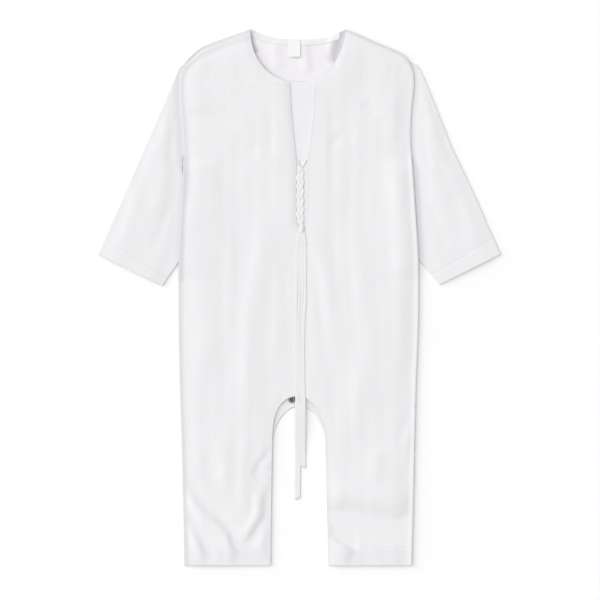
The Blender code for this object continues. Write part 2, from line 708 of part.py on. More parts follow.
def braid_ties(material):
    """The loop that ties the plaited cord to both edges of the slit: a V of thin cord."""
    points = [(BRAID_X + tie.x, tie.y) for tie in TIES]
    curve = bpy.data.curves.new("plait_ties", "CURVE")
    curve.dimensions = "3D"
    curve.bevel_depth = TIE_RADIUS
    curve.bevel_resolution = TIE_RESOLUTION
    curve.use_fill_caps = True
    spline = curve.splines.new("POLY")
    spline.points.add(len(points) - 1)
    for point, (x, y) in zip(spline.points, points):
        point.co = (x, y, underlap_height(x, y) + CLOTH + LAY_GAP + TIE_RADIUS, 1)
    return add_object("plait_ties", curve, material)


def strand_floor(x, y):
    """The lower face of a strand: on the front, then down past the crotch to the surface below."""
    over_front = front_height(x, y) + CLOTH + STRAND_GAP
    over_band = 2 * CLOTH + SEAM_GAP + STRAND_OVER_BAND
    past_front = smooth((FRONT_ARCH.top_y - STRAND_BEND - y) / STRAND_DROP)
    past_back = smooth((BACK_ARCH.top_y - STRAND_BEND - y) / STRAND_SETTLE)
    on_front = over_front + (over_band - over_front) * past_front
    return on_front + (STRAND_FLOOR - on_front) * past_back


def strand(name, material):
    """One flat strand of the tassel, with four sides."""
    mesh = bmesh.new()
    bmesh.ops.create_cube(mesh, size=1)
    lengthwise = [edge for edge in mesh.edges if abs(edge.verts[0].co.y - edge.verts[1].co.y) > 0.5]
    bmesh.ops.subdivide_edges(mesh, edges=lengthwise, cuts=STRAND_CUTS)
    end = STRAND_ENDS[name]
    for vertex in mesh.verts:
        y = end + (vertex.co.y + 0.5) * (STRAND_ROOT_Y - end)
        x = column_at(STRANDS, name, y)
        width = column_at(STRANDS, "width", y)
        floor = max(strand_floor(x + off * width / 2, y) for off in (-1, 0, 1))
        vertex.co = (x + vertex.co.x * width, y, floor + (vertex.co.z + 0.5) * STRAND_CLOTH)
    bmesh.ops.recalc_face_normals(mesh, faces=mesh.faces)
    data = bpy.data.meshes.new("strand_" + name)
    mesh.to_mesh(data)
    mesh.free()
    return add_object("strand_" + name, data, material, cutter=True)


def tassel(material):
    """The tassel: an oval head with four strands growing out of it."""
    mesh = bmesh.new()
    bmesh.ops.create_uvsphere(mesh, u_segments=HEAD_SIDES, v_segments=HEAD_RINGS, radius=1)
    middle = (STRANDS[0].first + STRANDS[0].fourth) / 2
    centre_z = max(strand_floor(middle, HEAD_Y - HEAD_HALF_Y), braid_floor(HEAD_Y)) + HEAD_HALF_Z
    for vertex in mesh.verts:
        x, y, z = vertex.co
        vertex.co = (middle + HEAD_HALF_X * x, HEAD_Y + HEAD_HALF_Y * y, centre_z + HEAD_HALF_Z * z)
    data = bpy.data.meshes.new("tassel")
    mesh.to_mesh(data)
    mesh.free()
    made = add_object("tassel", data, material)
    for name in STRAND_ENDS:
        join = made.modifiers.new("Join " + name, "BOOLEAN")
        join.operation = "UNION"
        join.object = strand(name, material)
    return made


def finish(name, colour, roughness, metallic=0.0):
    """A Principled material."""
    made = bpy.data.materials.new(name)
    made.use_nodes = True
    shader = made.node_tree.nodes["Principled BSDF"]
    shader.inputs["Base Color"].default_value = (*colour, 1.0)
    shader.inputs["Roughness"].default_value = roughness
    shader.inputs["Metallic"].default_value = metallic
    return made


for old in list(bpy.data.objects):
    bpy.data.objects.remove(old)

PARTS = bpy.data.collections.new("baby_romper")
CUTTERS = bpy.data.collections.new("cutters")
bpy.context.scene.collection.children.link(PARTS)
bpy.context.scene.collection.children.link(CUTTERS)

COTTON = finish("white_cotton", (0.86, 0.86, 0.88), 0.75)
INSIDE = finish("white_cotton_inside", (0.90, 0.88, 0.90), 0.80)
CORD = finish("white_cord", (0.86, 0.86, 0.85), 0.70)
SATIN = finish("label_satin", (0.97, 0.97, 0.97), 0.45)
STEEL = finish("snap_steel", (0.35, 0.35, 0.36), 0.35, 1.0)

body_panel("back", BACK_INNER_COLUMNS, back_height, INSIDE)
body_panel("front", FRONT_INNER_COLUMNS, front_height, COTTON)
sleeve("left", COTTON)
sleeve("right", COTTON)
underlap(COTTON)
back_neck_facing(INSIDE)
size_label(SATIN)
snap_band(INSIDE)
crotch_snap(STEEL)
braid(CORD)
braid_ties(CORD)
tassel(CORD)
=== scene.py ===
import math
from collections import namedtuple

import bmesh
import bpy
import numpy as np
from mathutils import Matrix, Vector


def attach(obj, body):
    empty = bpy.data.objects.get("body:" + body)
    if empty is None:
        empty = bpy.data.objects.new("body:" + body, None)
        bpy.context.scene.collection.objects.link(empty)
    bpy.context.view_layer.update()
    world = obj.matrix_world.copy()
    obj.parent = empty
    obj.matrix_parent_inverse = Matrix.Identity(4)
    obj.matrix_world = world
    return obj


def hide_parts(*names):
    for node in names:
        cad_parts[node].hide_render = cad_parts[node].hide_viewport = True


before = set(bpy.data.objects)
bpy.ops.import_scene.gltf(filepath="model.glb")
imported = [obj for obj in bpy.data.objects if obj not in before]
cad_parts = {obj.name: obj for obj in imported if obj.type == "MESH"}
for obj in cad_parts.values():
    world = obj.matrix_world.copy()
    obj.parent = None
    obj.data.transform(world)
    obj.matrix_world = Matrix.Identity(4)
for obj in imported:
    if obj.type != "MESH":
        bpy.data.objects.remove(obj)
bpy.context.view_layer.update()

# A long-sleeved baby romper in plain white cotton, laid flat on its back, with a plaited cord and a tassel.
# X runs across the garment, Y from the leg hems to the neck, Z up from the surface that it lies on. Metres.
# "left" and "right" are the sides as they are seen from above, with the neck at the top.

BOTH = ("left", "right")

# Cloth of the solids, whose faces the shown cloth keeps to, and the cloth as it is shown
CLOTH = 0.0010
SEAM_GAP = 0.0003
WALL = 0.0005
THIN_WALL = 0.0004
MERGE = 0.00001

# Heights of the body above the surface
SIDE_RISE = 0.0008
SIDE_ROUND = 0.006
SHOULDER_RISE = 0.0020
SHOULDER_ROUND = 0.014
LOFT = 0.0013
LOFT_RUN = 0.022
NECK_LIFT = 0.0009
NECK_RUN = 0.050
NECK_END_RUN = 0.030
FOLD_EDGE_RUN = 0.012

# The sleeve's strip that is tucked under the body, and how far it lifts the body's side
TUCK_TOP_Y = 0.1620
TUCK_FULL_Y = 0.1440
TUCK_LOW_Y = 0.0400
TUCK_END_Y = 0.0180
TUCK_LIFT = 0.0016
TUCK_WIDTH = 0.0130
TUCK_RAMP = 0.0340

# Neckline: the front is a superellipse that hangs straighter on the right, the back a shallow bow
NECK_X = -0.0015
NECK_HALF = 0.0545
NECK_TOP_Y = 0.3080
FRONT_NECK_DEPTH = 0.0605
FRONT_NECK_POWER = 2.13
FRONT_NECK_SLACK = 0.0030
FRONT_NECK_SLACK_Y = 0.2620
BACK_NECK_DEPTH = 0.0108
BACK_NECK_POWER = 2.6

# How the front comes down to the back along its inseams and hems
SLIT_SLOPE = 0.0010
SLIT_RUN = 0.0105
INSEAM_RUN = 0.012
INSEAM_LOFT = 0.55
RIGHT_INSEAM_LOFT = 0.80
INSEAM_DROP = 0.0005
RIGHT_INSEAM_DROP = 0.0002
HEM_LOFT = 0.80
HEM_RUN = 0.030
LEGS_FADE = 0.040
FOLD_LEG_RUN = 0.006
RIGHT_FOLD_LEG_MORE = 0.014
INSEAM_END_RUN = 0.030

# Faint waviness: a seed, a height, and the shortest and longest wave
Wave = namedtuple("Wave", "seed height shortest longest")
FRONT_RIPPLE = Wave(5, 0.00016, 0.022, 0.070)
FRONT_STREAKS = Wave(9, 0.00010, 0.007, 0.022)
BACK_RIPPLE = Wave(21, 0.00012, 0.018, 0.050)
SLEEVE_RIPPLE = Wave(31, 0.00014, 0.020, 0.060)
SLEEVE_UNDER_RIPPLE = Wave(41, 0.00015, 0.02, 0.05)
STRAND_RIPPLE = Wave(60, 0.00010, 0.02, 0.05)

# Crotch arches, inseams and hems
Arch = namedtuple("Arch", "top_y low_y half left_power right_power")
FRONT_ARCH = Arch(-0.1132, -0.1650, 0.0303, 2.45, 1.85)
BACK_ARCH = Arch(-0.1254, -0.1734, 0.0300, 2.0, 2.0)
ARCH_X = -0.0006
HEM_Y = -0.3075
HEM_INNER_HALF = 0.0330
HEM_WIDTH = 0.0200

Side = namedtuple("Side", "y left right")
SIDES = (
    Side(0.2700, -0.1318, 0.1274), Side(0.2600, -0.1359, 0.1308), Side(0.2450, -0.1380, 0.1317),
    Side(0.2200, -0.1370, 0.1294), Side(0.1900, -0.1349, 0.1279), Side(0.1600, -0.1334, 0.1294),
    Side(0.1300, -0.1342, 0.1314), Side(0.0900, -0.1365, 0.1341), Side(0.0450, -0.1386, 0.1367),
    Side(0.0000, -0.1389, 0.1372), Side(-0.0450, -0.1386, 0.1363), Side(-0.1000, -0.1375, 0.1342),
    Side(-0.1600, -0.1355, 0.1327), Side(-0.2300, -0.1337, 0.1312), Side(HEM_Y, -0.1321, 0.1292),
)

# How far the shoulder seam bows out from the straight line between its ends
Crown = namedtuple("Crown", "share left right")
SHOULDER_CROWN = (
    Crown(0.00, 0.0000, 0.0000), Crown(0.12, 0.0036, 0.0040), Crown(0.28, 0.0066, 0.0043),
    Crown(0.52, 0.0052, 0.0026), Crown(0.80, 0.0024, 0.0013), Crown(1.00, 0.0000, 0.0000),
)

# Edges of the chest slit
Slit = namedtuple("Slit", "y left right")
SLIT_TOP_LEFT = -0.0104
SLIT_TOP_RIGHT = 0.0172
SLIT_END_X = 0.0018
SLIT_END_Y = 0.0770
SLIT = (
    Slit(0.2520, -0.0106, 0.0173), Slit(0.2180, -0.0092, 0.0163), Slit(0.1820, -0.0058, 0.0125),
    Slit(0.1560, -0.0032, 0.0090), Slit(0.1250, -0.0037, 0.0090), Slit(0.0950, -0.0033, 0.0076),
    Slit(0.0840, -0.0024, 0.0062), Slit(SLIT_END_Y, SLIT_END_X, SLIT_END_X),
)

# Bands of rows down each half of a panel: the rows, and the stretch of the side that they start from
Band = namedtuple("Band", "name rows side_top side_bottom")
BANDS = (
    Band("neck", 42, 0.2700, 0.1960), Band("chest", 60, 0.1960, 0.0640), Band("trunk", 60, 0.0640, -0.0960),
    Band("arch", 36, -0.0960, -0.1600), Band("leg", 64, -0.1600, HEM_Y),
)
EDGE_STEPS = (0.0, 0.0004, 0.0009, 0.0016, 0.0025, 0.0036, 0.0050, 0.0066, 0.0085, 0.0110, 0.0140, 0.0175)
INNER_STEPS = (0.0110, 0.0080, 0.0055, 0.0040, 0.0028, 0.0018, 0.0010, 0.0004, 0.0)
HEM_STEPS = (0.0230, 0.0215, 0.0208, 0.0203, 0.0199, 0.0195, 0.0190, 0.0180, 0.0160, 0.0130, 0.0090, 0.0050,
             0.0030, 0.0018, 0.0009, 0.0004, 0.0)

# The front's finished edges, each by its distance from it: the cloth drops softly towards it, rolls down right at it,
# is dented by a line of stitches, and stands up a little over the cloth folded in, from start to end
ARMHOLE_LOW_Y = 0.158
ARMHOLE_LOW_RUN = 0.010
ARMHOLE_TOP_Y = 0.262
ARMHOLE_TOP_RUN = 0.008
SLEEVE_LINE_LOW_Y = 0.020
ARMHOLE_LINE_LOW_Y = 0.163
NECK_STITCH = 0.0062
SLIT_STITCH = 0.0022
SLIT_STITCH_POINTS = 30
LEG_STITCH = 0.0032
SIDE_ROLL = (0.0022, 0.0006)
Drop = namedtuple("Drop", "edge run depth")
DROPS = (Drop("armhole", 0.0080, 0.0007), Drop("shoulder", 0.0050, 0.0008), Drop("neck", 0.0080, 0.0006))
Roll = namedtuple("Roll", "edge width depth")
ROLLS = (Roll("left neck", 0.0012, 0.0002), Roll("left leg", 0.0013, 0.0003), Roll("hem", 0.0010, 0.0003))
Dent = namedtuple("Dent", "edge at half depth")
DENTS = (
    Dent("armhole", 0.0, 0.0012, 0.0003), Dent("shoulder", 0.0030, 0.0009, 0.0008),
    Dent("neck", NECK_STITCH, 0.0007, 0.00018), Dent("slit", SLIT_STITCH, 0.0006, 0.00012),
    Dent("leg", LEG_STITCH, 0.0006, 0.00012), Dent("hem", HEM_WIDTH, 0.0007, 0.00030),
)
BACK_SIDE_ROLL = (0.0020, 0.0003)
BACK_LEG_ROLL = (0.0010, 0.0002)
BACK_HEM_DENT = (HEM_WIDTH, 0.0007, 0.00010)
BACK_LOFT_OUTSIDE = 0.35
Ledge = namedtuple("Ledge", "edge start end run height")
LEDGES = (
    Ledge("armhole", 0.0010, 0.0058, 0.0008, 0.00008), Ledge("neck", -0.0100, 0.0060, 0.0010, 0.00012),
    Ledge("hem", -0.0100, HEM_WIDTH, 0.0010, 0.00018),
)

# How wide a darker tone lies along each edge of the front, and how strongly it shows: the cloth folded in under the
# seams, and painted shade of the seam creases and rolled edges
DoubledAndShade = namedtuple("DoubledAndShade", "edge width tone")
BODY_DOUBLED_AND_SHADE = (
    DoubledAndShade("left sleeve", 0.0070, 0.26), DoubledAndShade("right sleeve", 0.0030, 0.18), DoubledAndShade("sleeve", 0.0014, 0.32),
    DoubledAndShade("shoulder", 0.0030, 0.45), DoubledAndShade("side", 0.0024, 0.20), DoubledAndShade("slit", 0.0016, 0.14),
    DoubledAndShade("leg", 0.0016, 0.16), DoubledAndShade("hem", HEM_WIDTH, 0.06),
)
# The same darker tone on the sleeves along the armhole and the body's side: folded-in cloth, and painted shade of the
# armhole's valley and crease
SLEEVE_DOUBLED_AND_SHADE = {"left": 0.0042, "right": 0.0066}
SLEEVE_SHADE_TONE = 0.24
SLEEVE_CREASE_SHADE = DoubledAndShade("sleeve", 0.0014, 0.30)

# The ends of the shoulder seams, folded in at the back neck's corners, with painted shadow of the neck's corners on
# them: a line and how wide they lie
NECK_CORNERS_FOLDED_AND_SHADOWED = (
    (np.array([(-0.0572, 0.3080), (-0.0530, 0.2900), (-0.0500, 0.2840)]), 0.0026),
    (np.array([(0.0500, 0.3080), (0.0435, 0.2960), (0.0425, 0.2880), (0.0385, 0.2760)]), 0.0052),
)

# Soft folds in millimetres, each along a line of points: height (a trough is negative), half width on the right of
# its line, and how many times wider its left is
MM = 0.001
FOLD_FADE = 0.25
Fold = namedtuple("Fold", "height half lean points")
FRONT_FOLDS = (
    # Trunk
    Fold(1.3, 11, 1.6, ((-28, 132), (-36, 90), (-46, 40), (-54, 0), (-57, -50), (-60, -100), (-62, -150))),
    Fold(0.9, 8, 1.6, ((10, 116), (18, 70), (30, 20), (38, -30), (42, -70))),
    Fold(1.2, 13, 1.4, ((58, 112), (64, 60), (74, 0), (78, -55), (70, -115), (66, -170))),
    Fold(0.8, 10, 1.2, ((112, 180), (116, 80), (115, -40), (112, -110))),
    Fold(0.8, 11, 1.3, ((-102, 160), (-101, 66), (-106, -30), (-103, -110))),
    Fold(0.4, 6, 1.2, ((-76, 110), (-80, 30), (-83, -60))),
    Fold(0.4, 5.5, 1.2, ((-22, 60), (-26, -10), (-32, -90))),
    Fold(0.4, 6, 1.2, ((94, 130), (96, 40), (99, -60), (96, -140))),
    Fold(0.3, 5, 1.2, ((46, 100), (50, 30), (58, -60), (56, -150))),
    Fold(0.4, 5, 1.2, ((14, 20), (18, -40), (22, -100))),
    # Chest and shoulders
    Fold(0.9, 11, 0.32, ((-52, 174), (-39, 162.5), (-29, 155.5), (-15, 145))),
    Fold(-0.7, 5, 1, ((52, 187), (38, 177), (26, 168), (12, 159))),
    Fold(-0.9, 5, 1, ((-129, 215), (-112, 209), (-100, 207), (-83, 198), (-70, 188))),
    Fold(-0.4, 5, 1, ((-90, 220), (-78, 212), (-70, 202))),
    Fold(-0.6, 8.5, 1, ((74, 225), (81, 217), (88, 208))),
    Fold(-0.4, 6, 1, ((48, 195), (56, 188), (64, 182))),
    Fold(-0.4, 5.5, 1, ((100, 264), (111, 258), (122, 250))),
    Fold(-0.4, 6, 1, ((-76, 260), (-65, 254), (-55, 246))),
    Fold(-0.3, 6, 1, ((26, 260), (34, 256), (44, 254))),
    Fold(0.4, 10, 1, ((-110, 248), (-90, 238), (-70, 230))),
    Fold(0.4, 9, 1, ((98, 238), (106, 205), (108, 175))),
    # Left leg
    Fold(-1.7, 3.2, 2.6, ((-134, -202), (-124.7, -214.2), (-111.4, -235.4), (-91.3, -252.7), (-79.8, -267.1),
             (-72.9, -284.3), (-62.6, -292.9), (-51.1, -298), (-38, -305))),
    Fold(1.4, 8, 0.5, ((-134.5, -215), (-118, -242), (-98, -259), (-86, -274), (-79, -290), (-68, -300))),
    Fold(-1.3, 3, 2.4, ((-131, -238), (-124.7, -255.6), (-115.5, -270), (-109.7, -284.3), (-102.8, -295),
             (-96, -306))),
    Fold(0.9, 6, 0.5, ((-132, -256), (-121, -276), (-115, -290), (-106, -302))),
    Fold(-1.7, 3.4, 2, ((-37, -216), (-39.6, -232.6), (-40.7, -249.8), (-48.2, -264.2), (-56.8, -278.6), (-66, -288),
             (-76, -296))),
    Fold(1.2, 4.5, 2, ((-50, -220), (-49, -244), (-56, -262), (-66, -276))),
    Fold(-1.3, 3.4, 1.6, ((-33, -170), (-38.4, -180.8), (-48, -196), (-49.9, -202), (-45, -208), (-33, -212))),
    Fold(-0.9, 3, 1, ((-52, -193), (-44, -199), (-33, -201))),
    Fold(-1.3, 7, 1, ((-82, -301), (-66, -301), (-50, -302), (-34, -303))),
    Fold(0.9, 6.5, 1.4, ((-60, -145), (-64, -185), (-66, -225), (-64, -255))),
    Fold(-0.5, 10, 1, ((-112, -185), (-100, -193), (-90, -205))),
    Fold(0.7, 9, 1, ((-90, -150), (-86, -195), (-82, -235))),
    Fold(-0.4, 5, 1, ((-115, -135), (-102, -138), (-90, -145))),
    # Right leg
    Fold(2.4, 14, 1.3, ((-4, -228), (36, -227), (52.4, -226.5), (81.2, -230), (109.9, -237), (138, -243))),
    Fold(-2.2, 14, 1, ((-4, -254), (36, -253), (52.4, -253), (81.2, -257), (109.9, -265), (138, -271))),
    Fold(-1, 10, 1, ((70, -266), (90, -269), (110, -274), (128, -278))),
    Fold(1.6, 11, 0.28, ((24, -244), (30, -254), (35.5, -264), (40, -273))),
    Fold(-1.5, 3.4, 3, ((28.5, -243), (34.5, -253), (40, -262.5), (46, -272))),
    Fold(1.8, 11, 0.28, ((25, -268), (34, -276.5), (44, -283.5), (56, -289), (66, -292.5))),
    Fold(-1.6, 3.4, 3, ((29, -264), (38.5, -272.5), (48, -279.5), (60, -285), (70, -288.5))),
    Fold(-1.6, 4.5, 1, ((31, -285), (32.5, -296), (35, -307))),
    Fold(-0.6, 6, 1, ((133, -125), (120, -150), (112, -172))),
    Fold(0.6, 6, 1, ((129, -145), (124, -175), (127, -205))),
    Fold(-0.9, 6, 1, ((122, -245), (120, -265), (124, -285))),
    Fold(0.8, 10, 1, ((90, -170), (86, -195), (80, -215))),
)

# Soft folds of the back: the first four show inside the neck, the others on its underside
BACK_FOLDS = (
    Fold(1.2, 3.4, 4, ((50, 317), (44, 306.8), (38.8, 298.7), (35.7, 291.8), (36.2, 284.9), (37.7, 278), (41, 262))),
    Fold(-0.5, 5, 1, ((11, 296), (15, 280), (21.5, 256))),
    Fold(1.1, 7, 1, ((4, 296), (7, 276), (9, 256))),
    Fold(1, 7, 1, ((-30, 296), (-27, 280), (-23, 260))),
    Fold(1, 9, 1, ((60, 150), (40, 50), (50, -60))),
    Fold(0.9, 10, 1, ((-50, 130), (-70, 30), (-60, -80))),
    Fold(1, 8, 1, ((-100, -190), (-80, -230), (-70, -280))),
    Fold(0.9, 8, 1, ((90, -190), (80, -230), (75, -280))),
)

# Sleeves: the outer edge and the underarm edge of each section, by its share of the way to the cuff
Sleeve = namedtuple("Sleeve", "share outer_x outer_y inner_x inner_y")
SLEEVES = {
    "left": (
        Sleeve(0.00, -0.1334, 0.2680, -0.1342, 0.1640), Sleeve(0.03, -0.1370, 0.2650, -0.1344, 0.1590),
        Sleeve(0.15, -0.1488, 0.2392, -0.1345, 0.1460), Sleeve(0.30, -0.1631, 0.2069, -0.1305, 0.1210),
        Sleeve(0.45, -0.1775, 0.1742, -0.1285, 0.0930), Sleeve(0.60, -0.1925, 0.1402, -0.1310, 0.0680),
        Sleeve(0.76, -0.2085, 0.1040, -0.1375, 0.0420), Sleeve(0.88, -0.2205, 0.0768, -0.1480, 0.0270),
        Sleeve(1.00, -0.2322, 0.0503, -0.1571, 0.0135),
    ),
    "right": (
        Sleeve(0.00, 0.1290, 0.2700, 0.1299, 0.1640), Sleeve(0.03, 0.1358, 0.2675, 0.1300, 0.1590),
        Sleeve(0.11, 0.1433, 0.2532, 0.1304, 0.1480), Sleeve(0.30, 0.1617, 0.2072, 0.1275, 0.1210),
        Sleeve(0.45, 0.1764, 0.1704, 0.1262, 0.0930), Sleeve(0.60, 0.1925, 0.1376, 0.1290, 0.0680),
        Sleeve(0.75, 0.2077, 0.1041, 0.1350, 0.0455), Sleeve(0.87, 0.2187, 0.0784, 0.1480, 0.0310),
        Sleeve(1.00, 0.2318, 0.0500, 0.1608, 0.0149),
    ),
}

# How thick the sleeves lie, how they leave the body, where their rows and columns stand close, and their cuffs
SLEEVE_LOFT = 0.0010
SLEEVE_CLEAR = 0.0005
CORNER_CLEAR = 0.0008
ARMHOLE_FADE = 0.25
SLEEVE_MIDDLE_ROWS = 78
SLEEVE_MIDDLE_COLUMNS = 30
CUFF_HEM = 0.0200
SLEEVE_LENGTH = 0.243
SLEEVE_TOP_SHARES = (0.0, 0.002, 0.005, 0.009, 0.014, 0.020, 0.027, 0.035)
SLEEVE_EDGE_STEPS = (0.0, 0.0002, 0.0007, 0.0015, 0.0026, 0.0042, 0.0062, 0.0090)
CUFF_STEPS = (0.0215, 0.0208, 0.0203, 0.0199, 0.0195, 0.0188, 0.0170, 0.0140, 0.0100, 0.0060, 0.0030, 0.0018,
              0.0009, 0.0004, 0.0)
SLEEVE_BODY_START = 0.002
SLEEVE_BODY_RUN = 0.024
SLEEVE_LOFT_RUN = 0.020
SLEEVE_FOLD_START = 0.004
SLEEVE_FOLD_RUN = 0.014
SLEEVE_FOLD_EDGE_RUN = 0.010
SLEEVE_SEAM_RUN = 0.10
SLEEVE_TURN_IN = 0.0009
SLEEVE_TURN_IN_SHARE = 0.02
CUFF_DENT = (CUFF_HEM, 0.0007, 0.00025)
CUFF_RISE = 0.00015
CUFF_ROLL = (0.0010, 0.0004)

# Soft folds of the sleeves, as those of the front
SLEEVE_FOLDS = {
    "left": (
        Fold(0.5, 10, 1, ((-150, 215), (-152, 170), (-160, 120), (-176, 80))),
        Fold(-0.6, 6, 1, ((-140, 205), (-146, 180), (-150, 150))),
        Fold(0.4, 7, 1, ((-185, 120), (-195, 85), (-205, 60))),
        Fold(-0.5, 6, 1, ((-150, 110), (-158, 80), (-170, 50))),
    ),
    "right": (
        Fold(0.5, 10, 1, ((146, 215), (150, 170), (160, 120), (176, 80))),
        Fold(-0.6, 6, 1, ((140, 200), (145, 175), (150, 145))),
        Fold(0.4, 7, 1, ((186, 120), (196, 85), (206, 60))),
        Fold(-0.5, 6, 1, ((150, 110), (160, 80), (172, 50))),
    ),
}

# The sleeve's rounded edges, the heights of its middle and floor, and its dip along the armhole
SLEEVE_EDGE = 0.0016
SLEEVE_MIDDLE = 0.0011
SLEEVE_FLOOR = 0.0001
SLEEVE_SEAM_LIFT = 0.0005
SLEEVE_DIP = 0.0007
SLEEVE_DIP_RUN = 0.0090
SLEEVE_DIP_LOW_Y = 0.150

# Underlap behind the slit, facing and label inside the back neck
UNDERLAP_LEFT = -0.0260
UNDERLAP_RIGHT = 0.0300
UNDERLAP_LOW_Y = 0.0640
UNDERLAP_FADE = 0.012
UNDERLAP_ROOM = 0.0005
FACING_WIDTH = 0.0075
FACING_END = 0.0480
LABEL_LEFT = -0.0117
LABEL_RIGHT = 0.0013
LABEL_TOP_Y = 0.2962
LABEL_LOW_Y = 0.2765

# Snap band on the back's crotch, and its snap
BAND_WIDTH = 0.0150
BAND_INSET = 0.0006
SNAP_X = -0.0088
SNAP_Y = -0.1168
SNAP_RADIUS = 0.0042
SNAP_HEIGHT = 0.0012
SNAP_BORE = 0.0018
SNAP_SPREAD = 0.016

# Plaited cord tied across the slit
BRAID_X = 0.0020
BRAID_TOP_Y = 0.1485
BRAID_LOW_Y = 0.0860
BRAID_HALF = 0.0046
BRAID_PERIOD = 0.0312
CORD_RADIUS = 0.0019
CORD_HIGH = CORD_RADIUS * 0.19
CORD_CROSSING = 0.00010
TIE_RADIUS = 0.0009
TIE_HIGH = TIE_RADIUS * 0.36
TIE_CLIMB = 0.0005

# Tassel: its head, and where each flat strand runs
HEAD_Y = 0.0800
HEAD_HALF_X = 0.0033
HEAD_HALF_Y = 0.0052
HEAD_HALF_Z = 0.0014
STRAND_HIGH = 0.00017
STRAND_ROOT_Y = 0.0780
STRAND_FLOOR = 0.0007
STRAND_OVER_BAND = 0.0017
STRAND_BEND = 0.002
STRAND_DROP = 0.016
STRAND_SETTLE = 0.060
Strand = namedtuple("Strand", "y width first second third fourth")
STRANDS = (
    Strand(STRAND_ROOT_Y, 0.0009, 0.0006, 0.0019, 0.0032, 0.0045),
    Strand(0.0690, 0.0018, -0.0012, 0.0012, 0.0036, 0.0060),
    Strand(0.0450, 0.0023, -0.0027, 0.0004, 0.0035, 0.0066),
    Strand(0.0200, 0.0023, -0.0033, -0.0001, 0.0032, 0.0065),
    Strand(-0.0026, 0.0023, -0.0037, -0.0004, 0.0030, 0.0064),
    Strand(-0.0300, 0.0022, -0.0043, -0.0013, 0.0017, 0.0048),
    Strand(-0.0543, 0.0022, -0.0045, -0.0016, 0.0013, 0.0042),
    Strand(-0.0860, 0.0021, -0.0037, -0.0010, 0.0018, 0.0046),
    Strand(-0.1176, 0.0021, -0.0030, -0.0003, 0.0025, 0.0053),
    Strand(-0.1600, 0.0021, -0.0033, -0.0005, 0.0027, 0.0054),
    Strand(-0.1960, 0.0021, -0.0034, -0.0006, 0.0030, 0.0056),
    Strand(-0.2330, 0.0021, -0.0035, -0.0007, 0.0030, 0.0056),
)
STRAND_ENDS = {"first": -0.2320, "second": -0.2305, "third": -0.1940, "fourth": -0.1955}

STITCH_PITCH = 0.0031
STITCH_LENGTH = 0.0023
STITCH_WIDTH = 0.0005


# ---- Numbers along lines and tables

def smooth(share):
    share = np.clip(share, 0.0, 1.0)
    return share * share * (3 - 2 * share)


def through(places, values, at):
    """A smooth curve through values at rising places."""
    slopes = np.gradient(values, places)
    at = np.clip(at, places[0], places[-1])
    k = np.clip(np.searchsorted(places, at, side="right") - 1, 0, len(places) - 2)
    step = places[k + 1] - places[k]
    t = (at - places[k]) / step
    start = (1 + 2 * t) * (1 - t) ** 2 * values[k] + t * (1 - t) ** 2 * step * slopes[k]
    return start + t * t * (3 - 2 * t) * values[k + 1] + t * t * (t - 1) * step * slopes[k + 1]


def table_at(rows, column, at):
    """A column of a table at each place, by its first column."""
    places = np.array([row[0] for row in rows])
    values = np.array([getattr(row, column) for row in rows])
    if places[0] > places[-1]:
        places, values = places[::-1], values[::-1]
    return through(places, values, np.asarray(at, float))


def flowing(points, count=28):
    """Many points on a smooth curve through a few."""
    points = np.asarray(points, float)
    run = np.concatenate([[0.0], np.cumsum(np.hypot(*np.diff(points, axis=0).T[:2]))])
    at = np.linspace(0, run[-1], count)
    return np.stack([through(run, points[:, axis], at) for axis in range(points.shape[1])], axis=1)


def off_line(x, y, line):
    """How far each place is from a line, the share of the line's length there, and 1 on its right or -1 on its left."""
    nearest = np.full(np.shape(x), 1.0)
    along = np.zeros(np.shape(x))
    hand = np.ones(np.shape(x))
    run = 0.0
    for start, end in zip(line[:-1], line[1:]):
        step = end - start
        length = math.hypot(step[0], step[1])
        if length < MERGE:
            continue
        share = np.clip(((x - start[0]) * step[0] + (y - start[1]) * step[1]) / length**2, 0, 1)
        off = np.hypot(x - start[0] - share * step[0], y - start[1] - share * step[1])
        turned = np.sign((x - start[0]) * step[1] - (y - start[1]) * step[0])
        along = np.where(off < nearest, run + share * length, along)
        hand = np.where(off < nearest, turned, hand)
        nearest = np.minimum(nearest, off)
        run += length
    return nearest, along / run, hand


def near(x, y, lines):
    """How far each place is from the nearer of a left and a right line."""
    return np.minimum(*(off_line(x, y, line)[0] for line in lines.values()))


def relief(x, y, folds):
    """All the folds of a panel together."""
    total = np.zeros(np.shape(x))
    for fold in folds:
        off, along, hand = off_line(x, y, flowing(np.array(fold.points) * MM))
        half = np.where(hand > 0, 1, fold.lean) * fold.half * MM
        ends = smooth(along / FOLD_FADE) * smooth((1 - along) / FOLD_FADE)
        total += fold.height * MM * ends * np.exp(-((off / half) ** 2))
    return total


def ripple(x, y, seed, height, shortest, longest, count=14):
    """Faint unevenness of worn cloth: a few waves of many directions."""
    chance = np.random.default_rng(seed)
    total = np.zeros(np.shape(x))
    for _ in range(count):
        length = chance.uniform(shortest, longest)
        turn = chance.uniform(0, math.pi)
        start = chance.uniform(0, math.tau)
        total += np.sin((x * math.cos(turn) + y * math.sin(turn)) * math.tau / length + start)
    return height * total / math.sqrt(count)


def streaks(x, y, seed, height, shortest, longest, count=9):
    """Long faint streaks of pressed cloth, which run down the garment and wander a little."""
    chance = np.random.default_rng(seed)
    total = np.zeros(np.shape(x))
    for _ in range(count):
        length = chance.uniform(shortest, longest)
        wander = chance.uniform(0.2, 0.6) * np.sin(y * math.tau / chance.uniform(0.12, 0.30) + chance.uniform(0, 6))
        fade = 0.5 + 0.5 * np.sin(y * math.tau / chance.uniform(0.10, 0.26) + chance.uniform(0, 6))
        total += fade * np.sin(x * math.tau / length + wander + chance.uniform(0, 6))
    return height * total / math.sqrt(count)


